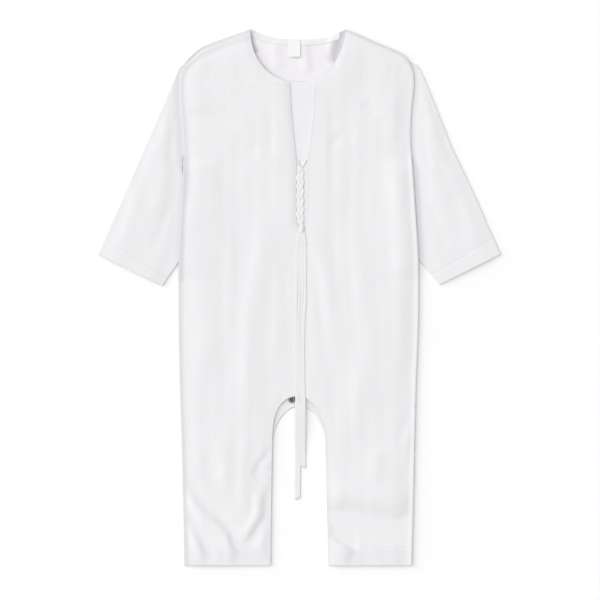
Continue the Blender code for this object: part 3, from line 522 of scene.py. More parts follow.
def rolled(off, width, depth):
    """How far an edge rolls down, a quarter round of this width and depth."""
    share = 1 - np.clip(off / width, 0, 1)
    return depth * (1 - np.sqrt(1 - share**2))


def soft_max(first, second, blend=0.0003):
    return 0.5 * (first + second + np.sqrt((first - second) ** 2 + blend**2))


def sign_of(side):
    return -1 if side == "left" else 1


# ---- The plan of the body: its edges

def shoulder_point(side, share):
    """A point of the shoulder seam, from its armhole end at 0 to the neck at 1."""
    start = np.array([getattr(SIDES[0], side), SIDES[0].y])
    end = np.array([NECK_X + sign_of(side) * NECK_HALF, NECK_TOP_Y])
    along = (end - start) / np.linalg.norm(end - start)
    outward = np.array([-along[1], along[0]]) * -sign_of(side)
    return start + share * (end - start) + float(table_at(SHOULDER_CROWN, side, share)) * outward


def neck_slack(y):
    """How far the right side of the front neckline hangs inside its superellipse."""
    share = (NECK_TOP_Y - y) / (NECK_TOP_Y - FRONT_NECK_SLACK_Y)
    return FRONT_NECK_SLACK * share * float(smooth((1 - share) / 0.3))


def neck_point(panel, side, share):
    """A point of the neckline, from the shoulder at 0 to the slit or the centre back at 1."""
    sign = sign_of(side)
    if panel == "back":
        half = NECK_HALF * (1 - share)
        rise = BACK_NECK_DEPTH * (half / NECK_HALF) ** BACK_NECK_POWER
        return NECK_X * (1 - share) + sign * half, NECK_TOP_Y - BACK_NECK_DEPTH + rise
    corner = SLIT_TOP_LEFT if side == "left" else SLIT_TOP_RIGHT
    turn = share * math.acos((abs(corner - NECK_X) / NECK_HALF) ** (FRONT_NECK_POWER / 2))
    across = NECK_HALF * math.cos(turn) ** (2 / FRONT_NECK_POWER)
    y = NECK_TOP_Y - FRONT_NECK_DEPTH * math.sin(turn) ** (2 / FRONT_NECK_POWER)
    return NECK_X + sign * across - (neck_slack(y) if side == "right" else 0.0), y


def arch_point(arch, side, share, grow=0.0):
    """A point of a crotch arch, from its top at 0 to its foot at 1, moved out by grow."""
    power = arch.left_power if side == "left" else arch.right_power
    turn = share * math.pi / 2
    across = (arch.half + grow) * math.sin(turn) ** (2 / power)
    up = (arch.top_y - arch.low_y + grow) * max(0.0, math.cos(turn)) ** (2 / power)
    return ARCH_X + sign_of(side) * across, arch.low_y + up


def inner_point(panel, side, band, share):
    """A point of a half panel's inner edge: neckline, slit or centre line, crotch arch and inseam."""
    front = panel == "front"
    arch = FRONT_ARCH if front else BACK_ARCH
    if band == "neck":
        return neck_point(panel, side, share)
    if band == "chest":
        top_x, top_y = neck_point(panel, side, 1)
        y = top_y + share * (SLIT_END_Y - top_y)
        return float(table_at(SLIT, side, y)) if front else top_x + share * (SLIT_END_X - top_x), y
    if band == "trunk":
        return SLIT_END_X + share * (ARCH_X - SLIT_END_X), SLIT_END_Y + share * (arch.top_y - SLIT_END_Y)
    if band == "arch":
        return arch_point(arch, side, share)
    half = arch.half + share * (HEM_INNER_HALF - arch.half)
    return ARCH_X * (1 - share) + sign_of(side) * half, arch.low_y + share * (HEM_Y - arch.low_y)


SIDE_YS = np.linspace(SIDES[0].y, HEM_Y, 90)
SIDE_LINES = {
    side: np.stack([table_at(SIDES, side, SIDE_YS), SIDE_YS], axis=1) for side in BOTH
}
SHOULDER_LINES = {
    side: np.array([shoulder_point(side, share) for share in np.linspace(0, 1, 25)]) for side in BOTH
}
SLEEVE_LINES = {side: line[line[:, 1] > SLEEVE_LINE_LOW_Y] for side, line in SIDE_LINES.items()}
ARMHOLE_LINES = {side: line[line[:, 1] > ARMHOLE_LINE_LOW_Y] for side, line in SIDE_LINES.items()}


def inner_line(panel, side, bands):
    """The inner edge of a half panel along these bands, from the neck down."""
    return np.array([inner_point(panel, side, band, share) for band in bands for share in np.linspace(0, 1, 40)])


NECK_LINES = {side: inner_line("front", side, ["neck"]) for side in BOTH}
SLIT_LINES = {side: inner_line("front", side, ["chest"]) for side in BOTH}
LEG_LINES = {side: inner_line("front", side, ["arch", "leg"]) for side in BOTH}
BACK_LEG_LINES = {side: inner_line("back", side, ["arch", "leg"]) for side in BOTH}
FRONT_LINES = {
    "side": SIDE_LINES, "sleeve": SLEEVE_LINES, "armhole": ARMHOLE_LINES, "shoulder": SHOULDER_LINES,
    "neck": NECK_LINES, "slit": SLIT_LINES, "leg": LEG_LINES,
}


# ---- Heights of the body

def side_distance(x, y):
    """How far a place is inside the nearer side edge."""
    return np.minimum(x - table_at(SIDES, "left", y), table_at(SIDES, "right", y) - x)


def shoulder_distance(x, y):
    """How far a place is below the shoulder seams, or away from their neck ends."""
    near_neck = np.hypot(NECK_HALF - np.abs(x - NECK_X), NECK_TOP_Y - y)
    left = SHOULDER_LINES["left"]
    right = SHOULDER_LINES["right"][::-1]
    line_y = np.where(x < NECK_X, np.interp(x, left[:, 0], left[:, 1]), np.interp(x, right[:, 0], right[:, 1]))
    return np.where(np.abs(x - NECK_X) < NECK_HALF, near_neck, line_y - y)


def neck_distance(x, y):
    """About how far a place is outside the front neckline."""
    across = np.abs(x - NECK_X) / NECK_HALF
    down = np.maximum(0.0, NECK_TOP_Y - y) / FRONT_NECK_DEPTH
    reach = (across**FRONT_NECK_POWER + down**FRONT_NECK_POWER) ** (1 / FRONT_NECK_POWER)
    return (reach - 1) * NECK_HALF


def tuck_lift(x, y):
    """How far the tucked sleeves lift the body."""
    along = smooth((TUCK_TOP_Y - y) / (TUCK_TOP_Y - TUCK_FULL_Y))
    along = along * smooth((y - TUCK_END_Y) / (TUCK_LOW_Y - TUCK_END_Y))
    return TUCK_LIFT * along * (1 - smooth((side_distance(x, y) - TUCK_WIDTH) / TUCK_RAMP))


def back_height(x, y):
    """The lower face of the back's solid."""
    side = SIDE_RISE * (1 - smooth(side_distance(x, y) / SIDE_ROUND))
    shoulder = SHOULDER_RISE * (1 - smooth(shoulder_distance(x, y) / SHOULDER_ROUND))
    return tuck_lift(x, y) + np.maximum(side, shoulder)


def underlap_share(x, y):
    """1 over the underlap, fading to 0 around it."""
    across = np.minimum(x - UNDERLAP_LEFT, UNDERLAP_RIGHT - x)
    return smooth(across / UNDERLAP_FADE + 1) * smooth((y - UNDERLAP_LOW_Y) / UNDERLAP_FADE + 1)


def front_height(x, y):
    """The front's upper face before its edges are finished, with all its folds."""
    inside = np.minimum(side_distance(x, y), shoulder_distance(x, y))
    loft = LOFT * smooth(inside / LOFT_RUN)
    neck = smooth(shoulder_distance(x, y) / NECK_END_RUN) * (1 - smooth(neck_distance(x, y) / NECK_RUN))
    folds = relief(x, y, FRONT_FOLDS) + ripple(x, y, *FRONT_RIPPLE) + streaks(x, y, *FRONT_STREAKS)
    leg_off = near(x, y, LEG_LINES)
    right = smooth((x - ARCH_X) / LEGS_FADE + 0.5)
    inseam_loft = INSEAM_LOFT + (RIGHT_INSEAM_LOFT - INSEAM_LOFT) * right
    to_edge = inseam_loft + (1 - inseam_loft) * smooth(leg_off / INSEAM_RUN)
    to_edge = to_edge * (HEM_LOFT + (1 - HEM_LOFT) * smooth((y - HEM_Y) / HEM_RUN))
    loft = (loft + NECK_LIFT * neck) * to_edge
    to_leg = 0.5 + 0.5 * smooth(leg_off / (FOLD_LEG_RUN + RIGHT_FOLD_LEG_MORE * right))
    loft = loft + folds * smooth(inside / FOLD_EDGE_RUN) * to_leg
    need = (CLOTH + SEAM_GAP + UNDERLAP_ROOM) * underlap_share(x, y)
    snap_off = np.hypot(x - SNAP_X, y - SNAP_Y) - SNAP_RADIUS
    snap = SNAP_HEIGHT * (1 - smooth(snap_off / SNAP_SPREAD))
    inseam = INSEAM_DROP + (RIGHT_INSEAM_DROP - INSEAM_DROP) * right
    above_arch = 1 - smooth((y - FRONT_ARCH.low_y) / INSEAM_END_RUN + 1)
    inseam = inseam * (1 - smooth(leg_off / INSEAM_RUN)) * above_arch
    room = soft_max(soft_max(loft, need), soft_max(snap, 0 * snap)) - inseam
    return back_height(x, y) + CLOTH + SEAM_GAP + room + CLOTH


def step_up(off, start, run):
    return smooth((off - start) / run)


def groove(off, at, half, depth):
    """The dent that a line of stitches pulls into the cloth."""
    return -depth * np.exp(-(((off - at) / half) ** 2))


def edge_distances(x, y):
    """How far each place is from the front's edges: "left neck", "right neck", "neck" for the nearer, and "hem"."""
    off = {"hem": y - HEM_Y}
    for name, lines in FRONT_LINES.items():
        for side, line in lines.items():
            off[side + " " + name] = off_line(x, y, line)[0]
        off[name] = np.minimum(off["left " + name], off["right " + name])
    return off


def front_top(x, y):
    """The front's upper face with its edges: rolled seams, hems, and the dents of the stitch lines."""
    off = edge_distances(x, y)
    at_armhole = smooth((y - ARMHOLE_LOW_Y) / ARMHOLE_LOW_RUN) * (1 - smooth((y - ARMHOLE_TOP_Y) / ARMHOLE_TOP_RUN))
    top = front_height(x, y) - rolled(off["right side"], *SIDE_ROLL) * (1 - at_armhole)
    top = top - SLIT_SLOPE * (1 - np.clip(off["left slit"] / SLIT_RUN, 0, 1)) ** 2
    for edge, run, depth in DROPS:
        top = top - depth * (1 - smooth(off[edge] / run))
    for edge, width, depth in ROLLS:
        top = top - rolled(off[edge], width, depth)
    for edge, at, half, depth in DENTS:
        top = top + groove(off[edge], at, half, depth)
    for edge, begin, end, run, height in LEDGES:
        top = top + height * step_up(off[edge], begin, run) * (1 - step_up(off[edge], end, run))
    return top


def back_top(x, y):
    """The back's upper face."""
    inside = np.minimum(side_distance(x, y), shoulder_distance(x, y))
    neck_inside = smooth((NECK_TOP_Y - BACK_NECK_DEPTH + 0.010 - y) / 0.014)
    folds = relief(x, y, BACK_FOLDS) + np.abs(ripple(x, y, *BACK_RIPPLE))
    room = np.maximum(0.0, folds) * smooth(inside / FOLD_EDGE_RUN) * np.maximum(BACK_LOFT_OUTSIDE, neck_inside)
    hem = groove(y - HEM_Y, *BACK_HEM_DENT)
    edge = rolled(near(x, y, SIDE_LINES), *BACK_SIDE_ROLL) + rolled(near(x, y, BACK_LEG_LINES), *BACK_LEG_ROLL)
    return np.maximum(WALL, back_height(x, y) + WALL + room + hem - edge)


# ---- Making cloth

def grid(mesh, points):
    """Adds a grid whose vertices are these points, by row from its lowest and by column, with a UV in metres."""
    rows, columns = points.shape[0] - 1, points.shape[1] - 1
    layer = mesh.loops.layers.uv.verify()
    made = bmesh.ops.create_grid(mesh, x_segments=columns, y_segments=rows, size=0.5, calc_uvs=True)
    across = np.linalg.norm(np.diff(points[rows // 2], axis=0), axis=1).sum()
    along = np.linalg.norm(np.diff(points[:, columns // 2], axis=0), axis=1).sum()
    faces = set()
    for vertex in made["verts"]:
        column = round((vertex.co.x + 0.5) * columns)
        row = round((vertex.co.y + 0.5) * rows)
        vertex.co = points[row, column]
        faces.update(vertex.link_faces)
    for face in faces:
        for loop in face.loops:
            loop[layer].uv.x *= across
            loop[layer].uv.y *= along


def close_up(mesh):
    """Merges doubles, then turns the faces outwards."""
    bmesh.ops.remove_doubles(mesh, verts=mesh.verts, dist=MERGE)
    bmesh.ops.recalc_face_normals(mesh, faces=mesh.faces)


def piece(name, mesh, material, nodes=(), wall=0.0, smooth_faces=True):
    """A finished piece on the body, from a bmesh: doubles merged, faces outwards, and a wall if it is cloth."""
    bmesh.ops.remove_doubles(mesh, verts=mesh.verts, dist=MERGE)
    data = bpy.data.meshes.new(name)
    mesh.to_mesh(data)
    mesh.free()
    if smooth_faces:
        data.shade_smooth()
    made = bpy.data.objects.new(name, data)
    made.data.materials.append(material)
    bpy.context.scene.collection.objects.link(made)
    if wall:
        solid = made.modifiers.new("Wall", "SOLIDIFY")
        solid.thickness = wall
        solid.offset = -1
        solid.use_even_offset = False
    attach(made, "root")
    if nodes:
        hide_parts(*nodes)
    return made


def row_shares(band):
    """Where the rows of a band lie. The leg's last rows stand close along the hem."""
    if band.name != "leg":
        return np.linspace(0, 1, band.rows + 1)
    length = band.side_top - band.side_bottom
    last = 1 - np.array(HEM_STEPS) / length
    return np.concatenate([np.linspace(0, last[0], band.rows - len(HEM_STEPS) + 2), last[1:]])


def half_plan(panel, side, middle_columns):
    """The plan of half a panel: rows from the hem up, columns from the side to the inner edge."""
    rows = []
    for number, band in enumerate(BANDS):
        for share in row_shares(band)[(1 if number else 0):]:
            y = band.side_top + share * (band.side_bottom - band.side_top)
            outer = np.array([float(table_at(SIDES, side, y)), y])
            inner = np.array(inner_point(panel, side, band.name, share))
            length = np.linalg.norm(inner - outer)
            steps = np.array(EDGE_STEPS) / length
            ends = 1 - np.array(INNER_STEPS) / length
            across = np.concatenate([steps, np.linspace(steps[-1], ends[0], middle_columns + 1)[1:-1], ends])
            plan = outer + across[:, None] * (inner - outer)
            bow = float(1 - smooth(share)) if band.name == "neck" else 0.0
            if bow:
                first, last = shoulder_point(side, 0), shoulder_point(side, 1)
                crown = np.array([shoulder_point(side, at) for at in across]) - first - across[:, None] * (last - first)
                plan = plan + bow * crown
            rows.append(plan)
    return np.array(rows[::-1])


def body_panel(name, panel, top, material, nodes, middle_columns):
    """The front or the back: two halves, joined down the centre."""
    mesh = bmesh.new()
    for side in BOTH:
        plan = half_plan(panel, side, middle_columns)
        if side == "right":
            plan = plan[:, ::-1]
        heights = top(plan[..., 0], plan[..., 1])
        grid(mesh, np.dstack([plan, heights]))
    return piece(name, mesh, material, nodes, wall=WALL)


def sleeve_row(side, share):
    rows = SLEEVES[side]
    shares = [row.share for row in rows]
    return [np.interp(share, shares, [getattr(row, name) for row in rows]) for name in Sleeve._fields[1:]]


def strip(off, width, edge=0.0018):
    """1 on a strip of this width along a line, 0 beyond it, with a soft edge."""
    return 1 - step_up(off, width - edge, 2 * edge)


def body_seam_shade(x, y):
    """How dark a tone lies on each place of the body along its seams, for their folded-in cloth and as painted shade:
    armholes, shoulders, sides, hems.
    """
    off = edge_distances(x, y)
    return np.maximum.reduce([row.tone * strip(off[row.edge], row.width) for row in BODY_DOUBLED_AND_SHADE])


def sleeve_seam_shade(x, y):
    """The same for the sleeves, along the armhole and the body's side."""
    off = near(x, y, SLEEVE_LINES)
    under = np.where(x < 0, strip(off, SLEEVE_DOUBLED_AND_SHADE["left"]), strip(off, SLEEVE_DOUBLED_AND_SHADE["right"]))
    return np.maximum(SLEEVE_SHADE_TONE * under, SLEEVE_CREASE_SHADE.tone * strip(off, SLEEVE_CREASE_SHADE.width))


def back_seam_shade(x, y):
    """The same for the back: the ends of both shoulder seams, folded in at the corners of the neck, with painted shadow
    there.
    """
    return np.maximum(*(strip(off_line(x, y, line)[0], width, width) for line, width in NECK_CORNERS_FOLDED_AND_SHADOWED))


def mark_seam_shade(made, seams):
    """Keeps on each vertex how dark the cotton's tone is made there: the folded-in cloth under it, and painted shade
    along the seams.
    """
    places = np.empty(3 * len(made.data.vertices))
    made.data.vertices.foreach_get("co", places)
    places = places.reshape(-1, 3)
    values = made.data.attributes.new("seam", "FLOAT", "POINT")
    values.data.foreach_set("value", np.ascontiguousarray(seams(places[:, 0], places[:, 1]), dtype=np.float32))


def sleeve_plan(side, across, share, under):
    """A place of the sleeve in plan: across runs from the outer edge to the underarm edge."""
    outer_x, outer_y, inner_x, inner_y = sleeve_row(side, share)
    x = outer_x + across * (inner_x - outer_x)
    y = outer_y + across * (inner_y - outer_y)
    first = sleeve_row(side, 0.0)
    seam_y = first[1] + across * (first[3] - first[1])
    clear = SLEEVE_CLEAR + CORNER_CLEAR * (1 - smooth(across / 0.10)) - under
    seam_x = table_at(SIDES, side, seam_y) + sign_of(side) * clear
    straight_x = first[0] + across * (first[2] - first[0])
    return x + (1 - smooth(share / ARMHOLE_FADE)) * (seam_x - straight_x), y


def sleeve_faces(side, x, y, across, share):
    """The heights of the sleeve's upper and lower face."""
    outer_x, outer_y, inner_x, inner_y = sleeve_row(side, share)
    width = np.hypot(inner_x - outer_x, inner_y - outer_y)
    off = np.minimum(across, 1 - across) * width
    beyond = np.abs(x) - np.abs(table_at(SIDES, side, y))
    to_cuff = (1 - share) * SLEEVE_LENGTH
    loft = SLEEVE_LOFT * smooth(off / SLEEVE_LOFT_RUN) * smooth((beyond - SLEEVE_BODY_START) / SLEEVE_BODY_RUN)
    seed = SLEEVE_RIPPLE.seed + sign_of(side)
    folds = relief(x, y, SLEEVE_FOLDS[side]) + ripple(x, y, seed, *SLEEVE_RIPPLE[1:])
    folds = folds * smooth(off / SLEEVE_FOLD_EDGE_RUN) * smooth((beyond - SLEEVE_FOLD_START) / SLEEVE_FOLD_RUN)
    top = 2 * CLOTH + loft + folds
    top = top + groove(to_cuff, *CUFF_DENT) + CUFF_RISE * (1 - step_up(to_cuff, CUFF_HEM, 0.0010))
    top = top - rolled(to_cuff, *CUFF_ROLL)
    dip = np.where(y > SLEEVE_DIP_LOW_Y, (1 - smooth(beyond / SLEEVE_DIP_RUN)) * SLEEVE_DIP, 0.0)
    round_off = np.sqrt(1 - (1 - np.clip(off / SLEEVE_EDGE, 0, 1)) ** 2)
    low = SLEEVE_FLOOR + SLEEVE_SEAM_LIFT * (1 - smooth(share / SLEEVE_SEAM_RUN))
    low = low + np.abs(ripple(x, y, *SLEEVE_UNDER_RIPPLE)) * smooth(off / SLEEVE_FOLD_EDGE_RUN)
    upper = SLEEVE_MIDDLE + (top - dip - SLEEVE_MIDDLE) * round_off
    lower = SLEEVE_MIDDLE - (SLEEVE_MIDDLE - low) * round_off
    return upper, lower


def sleeve(side, material):
    """A sleeve: a flattened tube, open at the armhole and at the cuff."""
    mesh = bmesh.new()
    middle_shares = np.linspace(0.045, 0.90, SLEEVE_MIDDLE_ROWS)
    shares = np.concatenate([SLEEVE_TOP_SHARES, middle_shares, 1 - np.array(CUFF_STEPS) / SLEEVE_LENGTH])
    rows = []
    for share in shares[::-1]:
        outer_x, outer_y, inner_x, inner_y = sleeve_row(side, share)
        width = math.hypot(inner_x - outer_x, inner_y - outer_y)
        ends = np.array(SLEEVE_EDGE_STEPS) / width
        middle = np.linspace(ends[-1], 1 - ends[-1], SLEEVE_MIDDLE_COLUMNS)[1:-1]
        across = np.concatenate([ends, middle, 1 - ends[::-1]])
        ring = []
        for level, order in ((0, across), (1, across[::-1][1:])):
            under = SLEEVE_TURN_IN * level * (1 - smooth(share / SLEEVE_TURN_IN_SHARE))
            x, y = sleeve_plan(side, order, share, under)
            upper, lower = sleeve_faces(side, x, y, order, share)
            ring.append(np.stack([x, y, upper if level else lower], axis=1))
        ring = np.concatenate(ring)
        rows.append(ring if side == "left" else ring[::-1])
    grid(mesh, np.array(rows))
    close_up(mesh)
    if sum(face.normal.z * (face.calc_center_median().z - SLEEVE_MIDDLE) for face in mesh.faces) < 0:
        bmesh.ops.reverse_faces(mesh, faces=mesh.faces)
    return piece("sleeve_cloth_" + side, mesh, material, ["sleeve_" + side], wall=WALL)


def front_neck_y(x):
    across = np.abs(x - NECK_X) / NECK_HALF
    return NECK_TOP_Y - FRONT_NECK_DEPTH * (1 - across**FRONT_NECK_POWER) ** (1 / FRONT_NECK_POWER)


def underlap_top(x, y):
    """The underlap's upper face, below the front."""
    across = (x - table_at(SLIT, "left", y)) / (SLIT_TOP_RIGHT - SLIT_TOP_LEFT)
    return front_height(x, y) - WALL - 0.0001 - SLIT_SLOPE * (1 - 0.6 * smooth(across))


def underlap(material):
    mesh = bmesh.new()
    x = np.linspace(UNDERLAP_LEFT, UNDERLAP_RIGHT, 49)
    share = np.linspace(0, 1, 121)[:, None]
    y = UNDERLAP_LOW_Y + (front_neck_y(x)[None, :] - UNDERLAP_LOW_Y) * share
    x = np.broadcast_to(x, y.shape)
    grid(mesh, np.dstack([x, y, underlap_top(x, y)]))
    return piece("underlap_cloth", mesh, material, ["underlap"], wall=WALL)


def back_neck_facing(material):
    """The narrow strip sewn inside the back neckline, with the dent of its row of stitches."""
    mesh = bmesh.new()
    columns = 100
    places = []
    for column in range(columns + 1):
        share = FACING_END / NECK_HALF * abs(2 * column / columns - 1)
        places.append(neck_point("back", "left" if 2 * column < columns else "right", 1 - share))
    places = np.array(places)
    rows = []
    for off in (FACING_WIDTH, 0.0072, 0.0066, 0.0058, 0.0050, 0.0036, 0.0022, 0.0012, 0.0005, 0.0002):
        x, y = places[:, 0], places[:, 1] - off
        puff = 0.00042 - rolled(np.minimum(FACING_WIDTH - off, off), 0.0010, 0.0003)
        puff = puff + groove(off, 0.0062, 0.0006, 0.00015)
        rows.append(np.stack([x, y, back_top(x, y) + puff], axis=1))
    grid(mesh, np.array(rows))
    return piece("back_neck_facing_cloth", mesh, material, ["back_neck_facing"], wall=THIN_WALL)


def size_label(material):
    """The small woven label, bare, sewn over the facing, with its free end curling up."""
    mesh = bmesh.new()
    x = np.linspace(LABEL_LEFT, LABEL_RIGHT, 17)
    y = np.linspace(LABEL_LOW_Y, LABEL_TOP_Y, 29)[:, None]
    x, y = np.broadcast_to(x, (29, 17)), np.broadcast_to(y, (29, 17))
    free = (LABEL_TOP_Y - y) / (LABEL_TOP_Y - LABEL_LOW_Y)
    bow = 1 - (2 * (x - LABEL_LEFT) / (LABEL_RIGHT - LABEL_LEFT) - 1) ** 2
    z = back_top(x, y) + 0.00075 + 0.0005 * free**2 + 0.0002 * bow * free
    grid(mesh, np.dstack([x, y, z]))
    return piece("neck_label", mesh, material, ["size_label"], wall=0.00025)


def snap_band(material):
    """The folded band along the back's crotch arch."""
    mesh = bmesh.new()
    rows = []
    for off in (0.0, 0.0003, 0.0008, 0.0016, 0.0026, 0.0032, 0.0040, 0.0055, 0.0080, 0.0105, 0.0130, 0.0142, 0.0150):
        ring = []
        for share in np.linspace(-1, 1, 91):
            side = "left" if share < 0 else "right"
            ring.append(arch_point(BACK_ARCH, side, abs(share), BAND_INSET + off))
        ring = np.array(ring)
        puff = 0.00062 - rolled(min(off, BAND_WIDTH - off), 0.0010, 0.0004) + groove(off, 0.0029, 0.0005, 0.00018)
        rows.append(np.column_stack([ring, back_top(ring[:, 0], ring[:, 1]) + puff]))
    grid(mesh, np.array(rows))
    return piece("crotch_band", mesh, material, ["crotch_snap_band"], wall=THIN_WALL)


def crotch_snap(material):
    """The socket of the snap: a turned ring with a raised rim, and a thin disc in its bore."""
    base = float(back_top(np.array(SNAP_X), np.array(SNAP_Y))) + 0.0007
    profile = (
        (SNAP_RADIUS, 0.00045), (SNAP_RADIUS * 0.99, 0.0001), (SNAP_RADIUS * 0.96, 0.0), (SNAP_BORE, 0.0),
        (SNAP_BORE, 0.0009), (SNAP_BORE * 1.10, 0.0012), (SNAP_BORE * 1.35, 0.00135), (SNAP_BORE * 1.6, 0.0012),
        (SNAP_BORE * 1.75, 0.0009), (SNAP_RADIUS * 0.80, 0.0008), (SNAP_RADIUS * 0.90, 0.00085),
        (SNAP_RADIUS * 0.97, 0.0007),
    )
    mesh = bmesh.new()
    corners = [mesh.verts.new((radius, 0.0, z)) for radius, z in profile]
    edges = [mesh.edges.new((corners[k], corners[(k + 1) % len(corners)])) for k in range(len(corners))]
    bmesh.ops.spin(
        mesh, geom=corners + edges, cent=(0, 0, 0), axis=(0, 0, 1), angle=math.tau, steps=40, use_merge=True
    )
    bmesh.ops.remove_doubles(mesh, verts=mesh.verts, dist=MERGE)
    bmesh.ops.create_cone(
        mesh, cap_ends=True, segments=24, radius1=SNAP_BORE, radius2=SNAP_BORE, depth=0.0003,
    )
    bmesh.ops.recalc_face_normals(mesh, faces=mesh.faces)
    bmesh.ops.translate(mesh, verts=mesh.verts, vec=(SNAP_X, SNAP_Y, base))
    return piece("snap_socket", mesh, material, ["crotch_snap"])


# ---- Cords

def tube(mesh, path, wide, high, sides=10):
    """Adds a closed tube round a path of points, with these half widths and half heights along it."""
    path = np.asarray(path, float)
    tangent = np.gradient(path, axis=0)
    tangent /= np.linalg.norm(tangent, axis=1)[:, None]
    across = np.cross(tangent, [0.0, 0.0, 1.0])
    across /= np.linalg.norm(across, axis=1)[:, None]
    up = np.cross(across, tangent)
    turn = np.linspace(0, math.tau, sides + 1)
    wide, high = np.broadcast_to(wide, len(path)), np.broadcast_to(high, len(path))
    rings = path[:, None] + across[:, None] * (wide[:, None] * np.cos(turn))[..., None]
    rings = rings + up[:, None] * (high[:, None] * np.sin(turn))[..., None]
    ends = [np.broadcast_to(path[k], (1, sides + 1, 3)) for k in (0, -1)]
    grid(mesh, np.concatenate([ends[0], rings, ends[1]]))


def braid_floor(y):
    x = np.full(np.shape(y), BRAID_X)
    return np.maximum(underlap_top(x - BRAID_HALF, y), underlap_top(x + BRAID_HALF, y))


def plaited_cord(material):
    """Three soft cords plaited flat."""
    mesh = bmesh.new()
    y = np.linspace(BRAID_TOP_Y + 0.0015, BRAID_LOW_Y - 0.0020, 190)
    share = (y - y[-1]) / (y[0] - y[-1])
    taper = 0.45 + 0.55 * smooth(np.minimum(share, 1 - share) / 0.09)
    floor = braid_floor(y)
    for cord in range(3):
        turn = math.tau * (y / BRAID_PERIOD + cord / 3)
        x = BRAID_X - 0.001 + (BRAID_HALF - CORD_RADIUS) * taper * np.sin(turn)
        z = floor + CORD_HIGH + CORD_CROSSING * (1 + np.sin(2 * turn)) * taper
        tube(mesh, np.column_stack([x, y, z]), CORD_RADIUS, CORD_HIGH, sides=12)
    close_up(mesh)
    return piece("plait", mesh, material, ["plaited_cord"])


def plait_ties(material):
    """The loop that ties the plait to both edges of the slit: two arms of thin cord."""
    mesh = bmesh.new()
    for points in (
        ((-0.0022, 0.1575), (-0.0012, 0.1540), (0.0002, 0.1512), (0.0014, 0.1480)),
        ((0.0072, 0.1578), (0.0056, 0.1540), (0.0036, 0.1512), (0.0022, 0.1480)),
    ):
        line = flowing(points, 16)
        z = underlap_top(line[:, 0], line[:, 1]) + TIE_HIGH + TIE_CLIMB * np.linspace(1, 0.2, 16)
        tube(mesh, np.column_stack([line, z]), TIE_RADIUS * 1.2, TIE_HIGH, sides=8)
    close_up(mesh)
    return piece("ties", mesh, material, ["plait_ties"])


def strand_floor(x, y):
    """The lower face of a strand: on the front, then down past the crotch to the surface below."""
    over_front = front_height(x, y) + 0.00005
    over_band = 2 * CLOTH + SEAM_GAP + STRAND_OVER_BAND
    past_front = smooth((FRONT_ARCH.top_y - STRAND_BEND - y) / STRAND_DROP)
    past_back = smooth((BACK_ARCH.top_y - STRAND_BEND - y) / STRAND_SETTLE)
    on_front = over_front + (over_band - over_front) * past_front
    return on_front + (STRAND_FLOOR - on_front) * past_back


def tassel(material):
    """The tassel: a wrapped head with four soft flat strands growing out of it."""
    mesh = bmesh.new()
    middle = (STRANDS[0].first + STRANDS[0].fourth) / 2
    for number, (name, end) in enumerate(STRAND_ENDS.items()):
        y = np.linspace(STRAND_ROOT_Y + 0.002, end, 150)
        x = table_at(STRANDS, name, y)
        half = table_at(STRANDS, "width", y) * 0.5 + 0.00085
        waver = ripple(y, y * 0, STRAND_RIPPLE.seed + number, *STRAND_RIPPLE[1:]) * smooth((STRAND_ROOT_Y - y) / 0.01)
        z = strand_floor(x, y) + STRAND_HIGH
        tube(mesh, np.column_stack([x + waver, y, z]), half, STRAND_HIGH, sides=10)
    y = np.linspace(HEAD_Y + HEAD_HALF_Y, HEAD_Y - HEAD_HALF_Y, 60)
    share = (y - HEAD_Y) / HEAD_HALF_Y
    oval = np.sqrt(np.maximum(0.02, 1 - share**2))
    rings = 1 + 0.07 * np.cos(np.linspace(0, math.tau * 8, 60))
    floor = np.maximum(strand_floor(np.full(60, middle), y), braid_floor(y))
    z = np.full(60, floor.max()) + HEAD_HALF_Z * 0.5
    tube(mesh, np.column_stack([np.full(60, middle), y, z]), HEAD_HALF_X * 0.8 * oval * rings,
         HEAD_HALF_Z * 0.5 * oval * rings, sides=16)
    close_up(mesh)
    return piece("cord_tassel", mesh, material, ["tassel"])


# ---- Sewing

def even_places(line, pitch):
    """Places at an even pitch along a line, and the direction of the line at each."""
    step = np.diff(line, axis=0)
    run = np.concatenate([[0.0], np.cumsum(np.hypot(step[:, 0], step[:, 1]))])
    at = np.arange(pitch / 2, run[-1], pitch)
    places = np.stack([np.interp(at, run, line[:, axis]) for axis in (0, 1)], axis=1)
    ahead = np.stack([np.interp(at + 0.0005, run, line[:, axis]) for axis in (0, 1)], axis=1)
    behind = np.stack([np.interp(at - 0.0005, run, line[:, axis]) for axis in (0, 1)], axis=1)
    return places, np.arctan2(ahead[:, 1] - behind[:, 1], ahead[:, 0] - behind[:, 0])


def inset(line, off):
    """A line moved to its left by off, in plan."""
    tangent = np.gradient(line, axis=0)
    tangent /= np.maximum(MERGE, np.hypot(tangent[:, 0], tangent[:, 1]))[:, None]
    return line + off * np.stack([-tangent[:, 1], tangent[:, 0]], axis=1)


def stitches(name, rows, material):
    """Rows of topstitches: small flattened beads of thread. Each row is a line and the height of its cloth."""
    mesh = bmesh.new()
    for line, height in rows:
        places, turns = even_places(np.asarray(line, float), STITCH_PITCH)
        heights = height(places[:, 0], places[:, 1])
        for (x, y), z, turn in zip(places, heights, turns):
            matrix = Matrix.Translation(Vector((x, y, z + 0.00004))) @ Matrix.Rotation(turn, 4, "Z")
            matrix = matrix @ Matrix.Diagonal((STITCH_LENGTH, STITCH_WIDTH, STITCH_WIDTH * 0.7, 1.0))
            bmesh.ops.create_icosphere(mesh, subdivisions=1, radius=0.5, matrix=matrix)
    return piece(name, mesh, material)


# ---- Finishes

def fill(node, **values):
    """Sets a node's inputs by their names, with underscores for spaces."""
    for name, value in values.items():
        node.inputs[name.replace("_", " ")].default_value = value


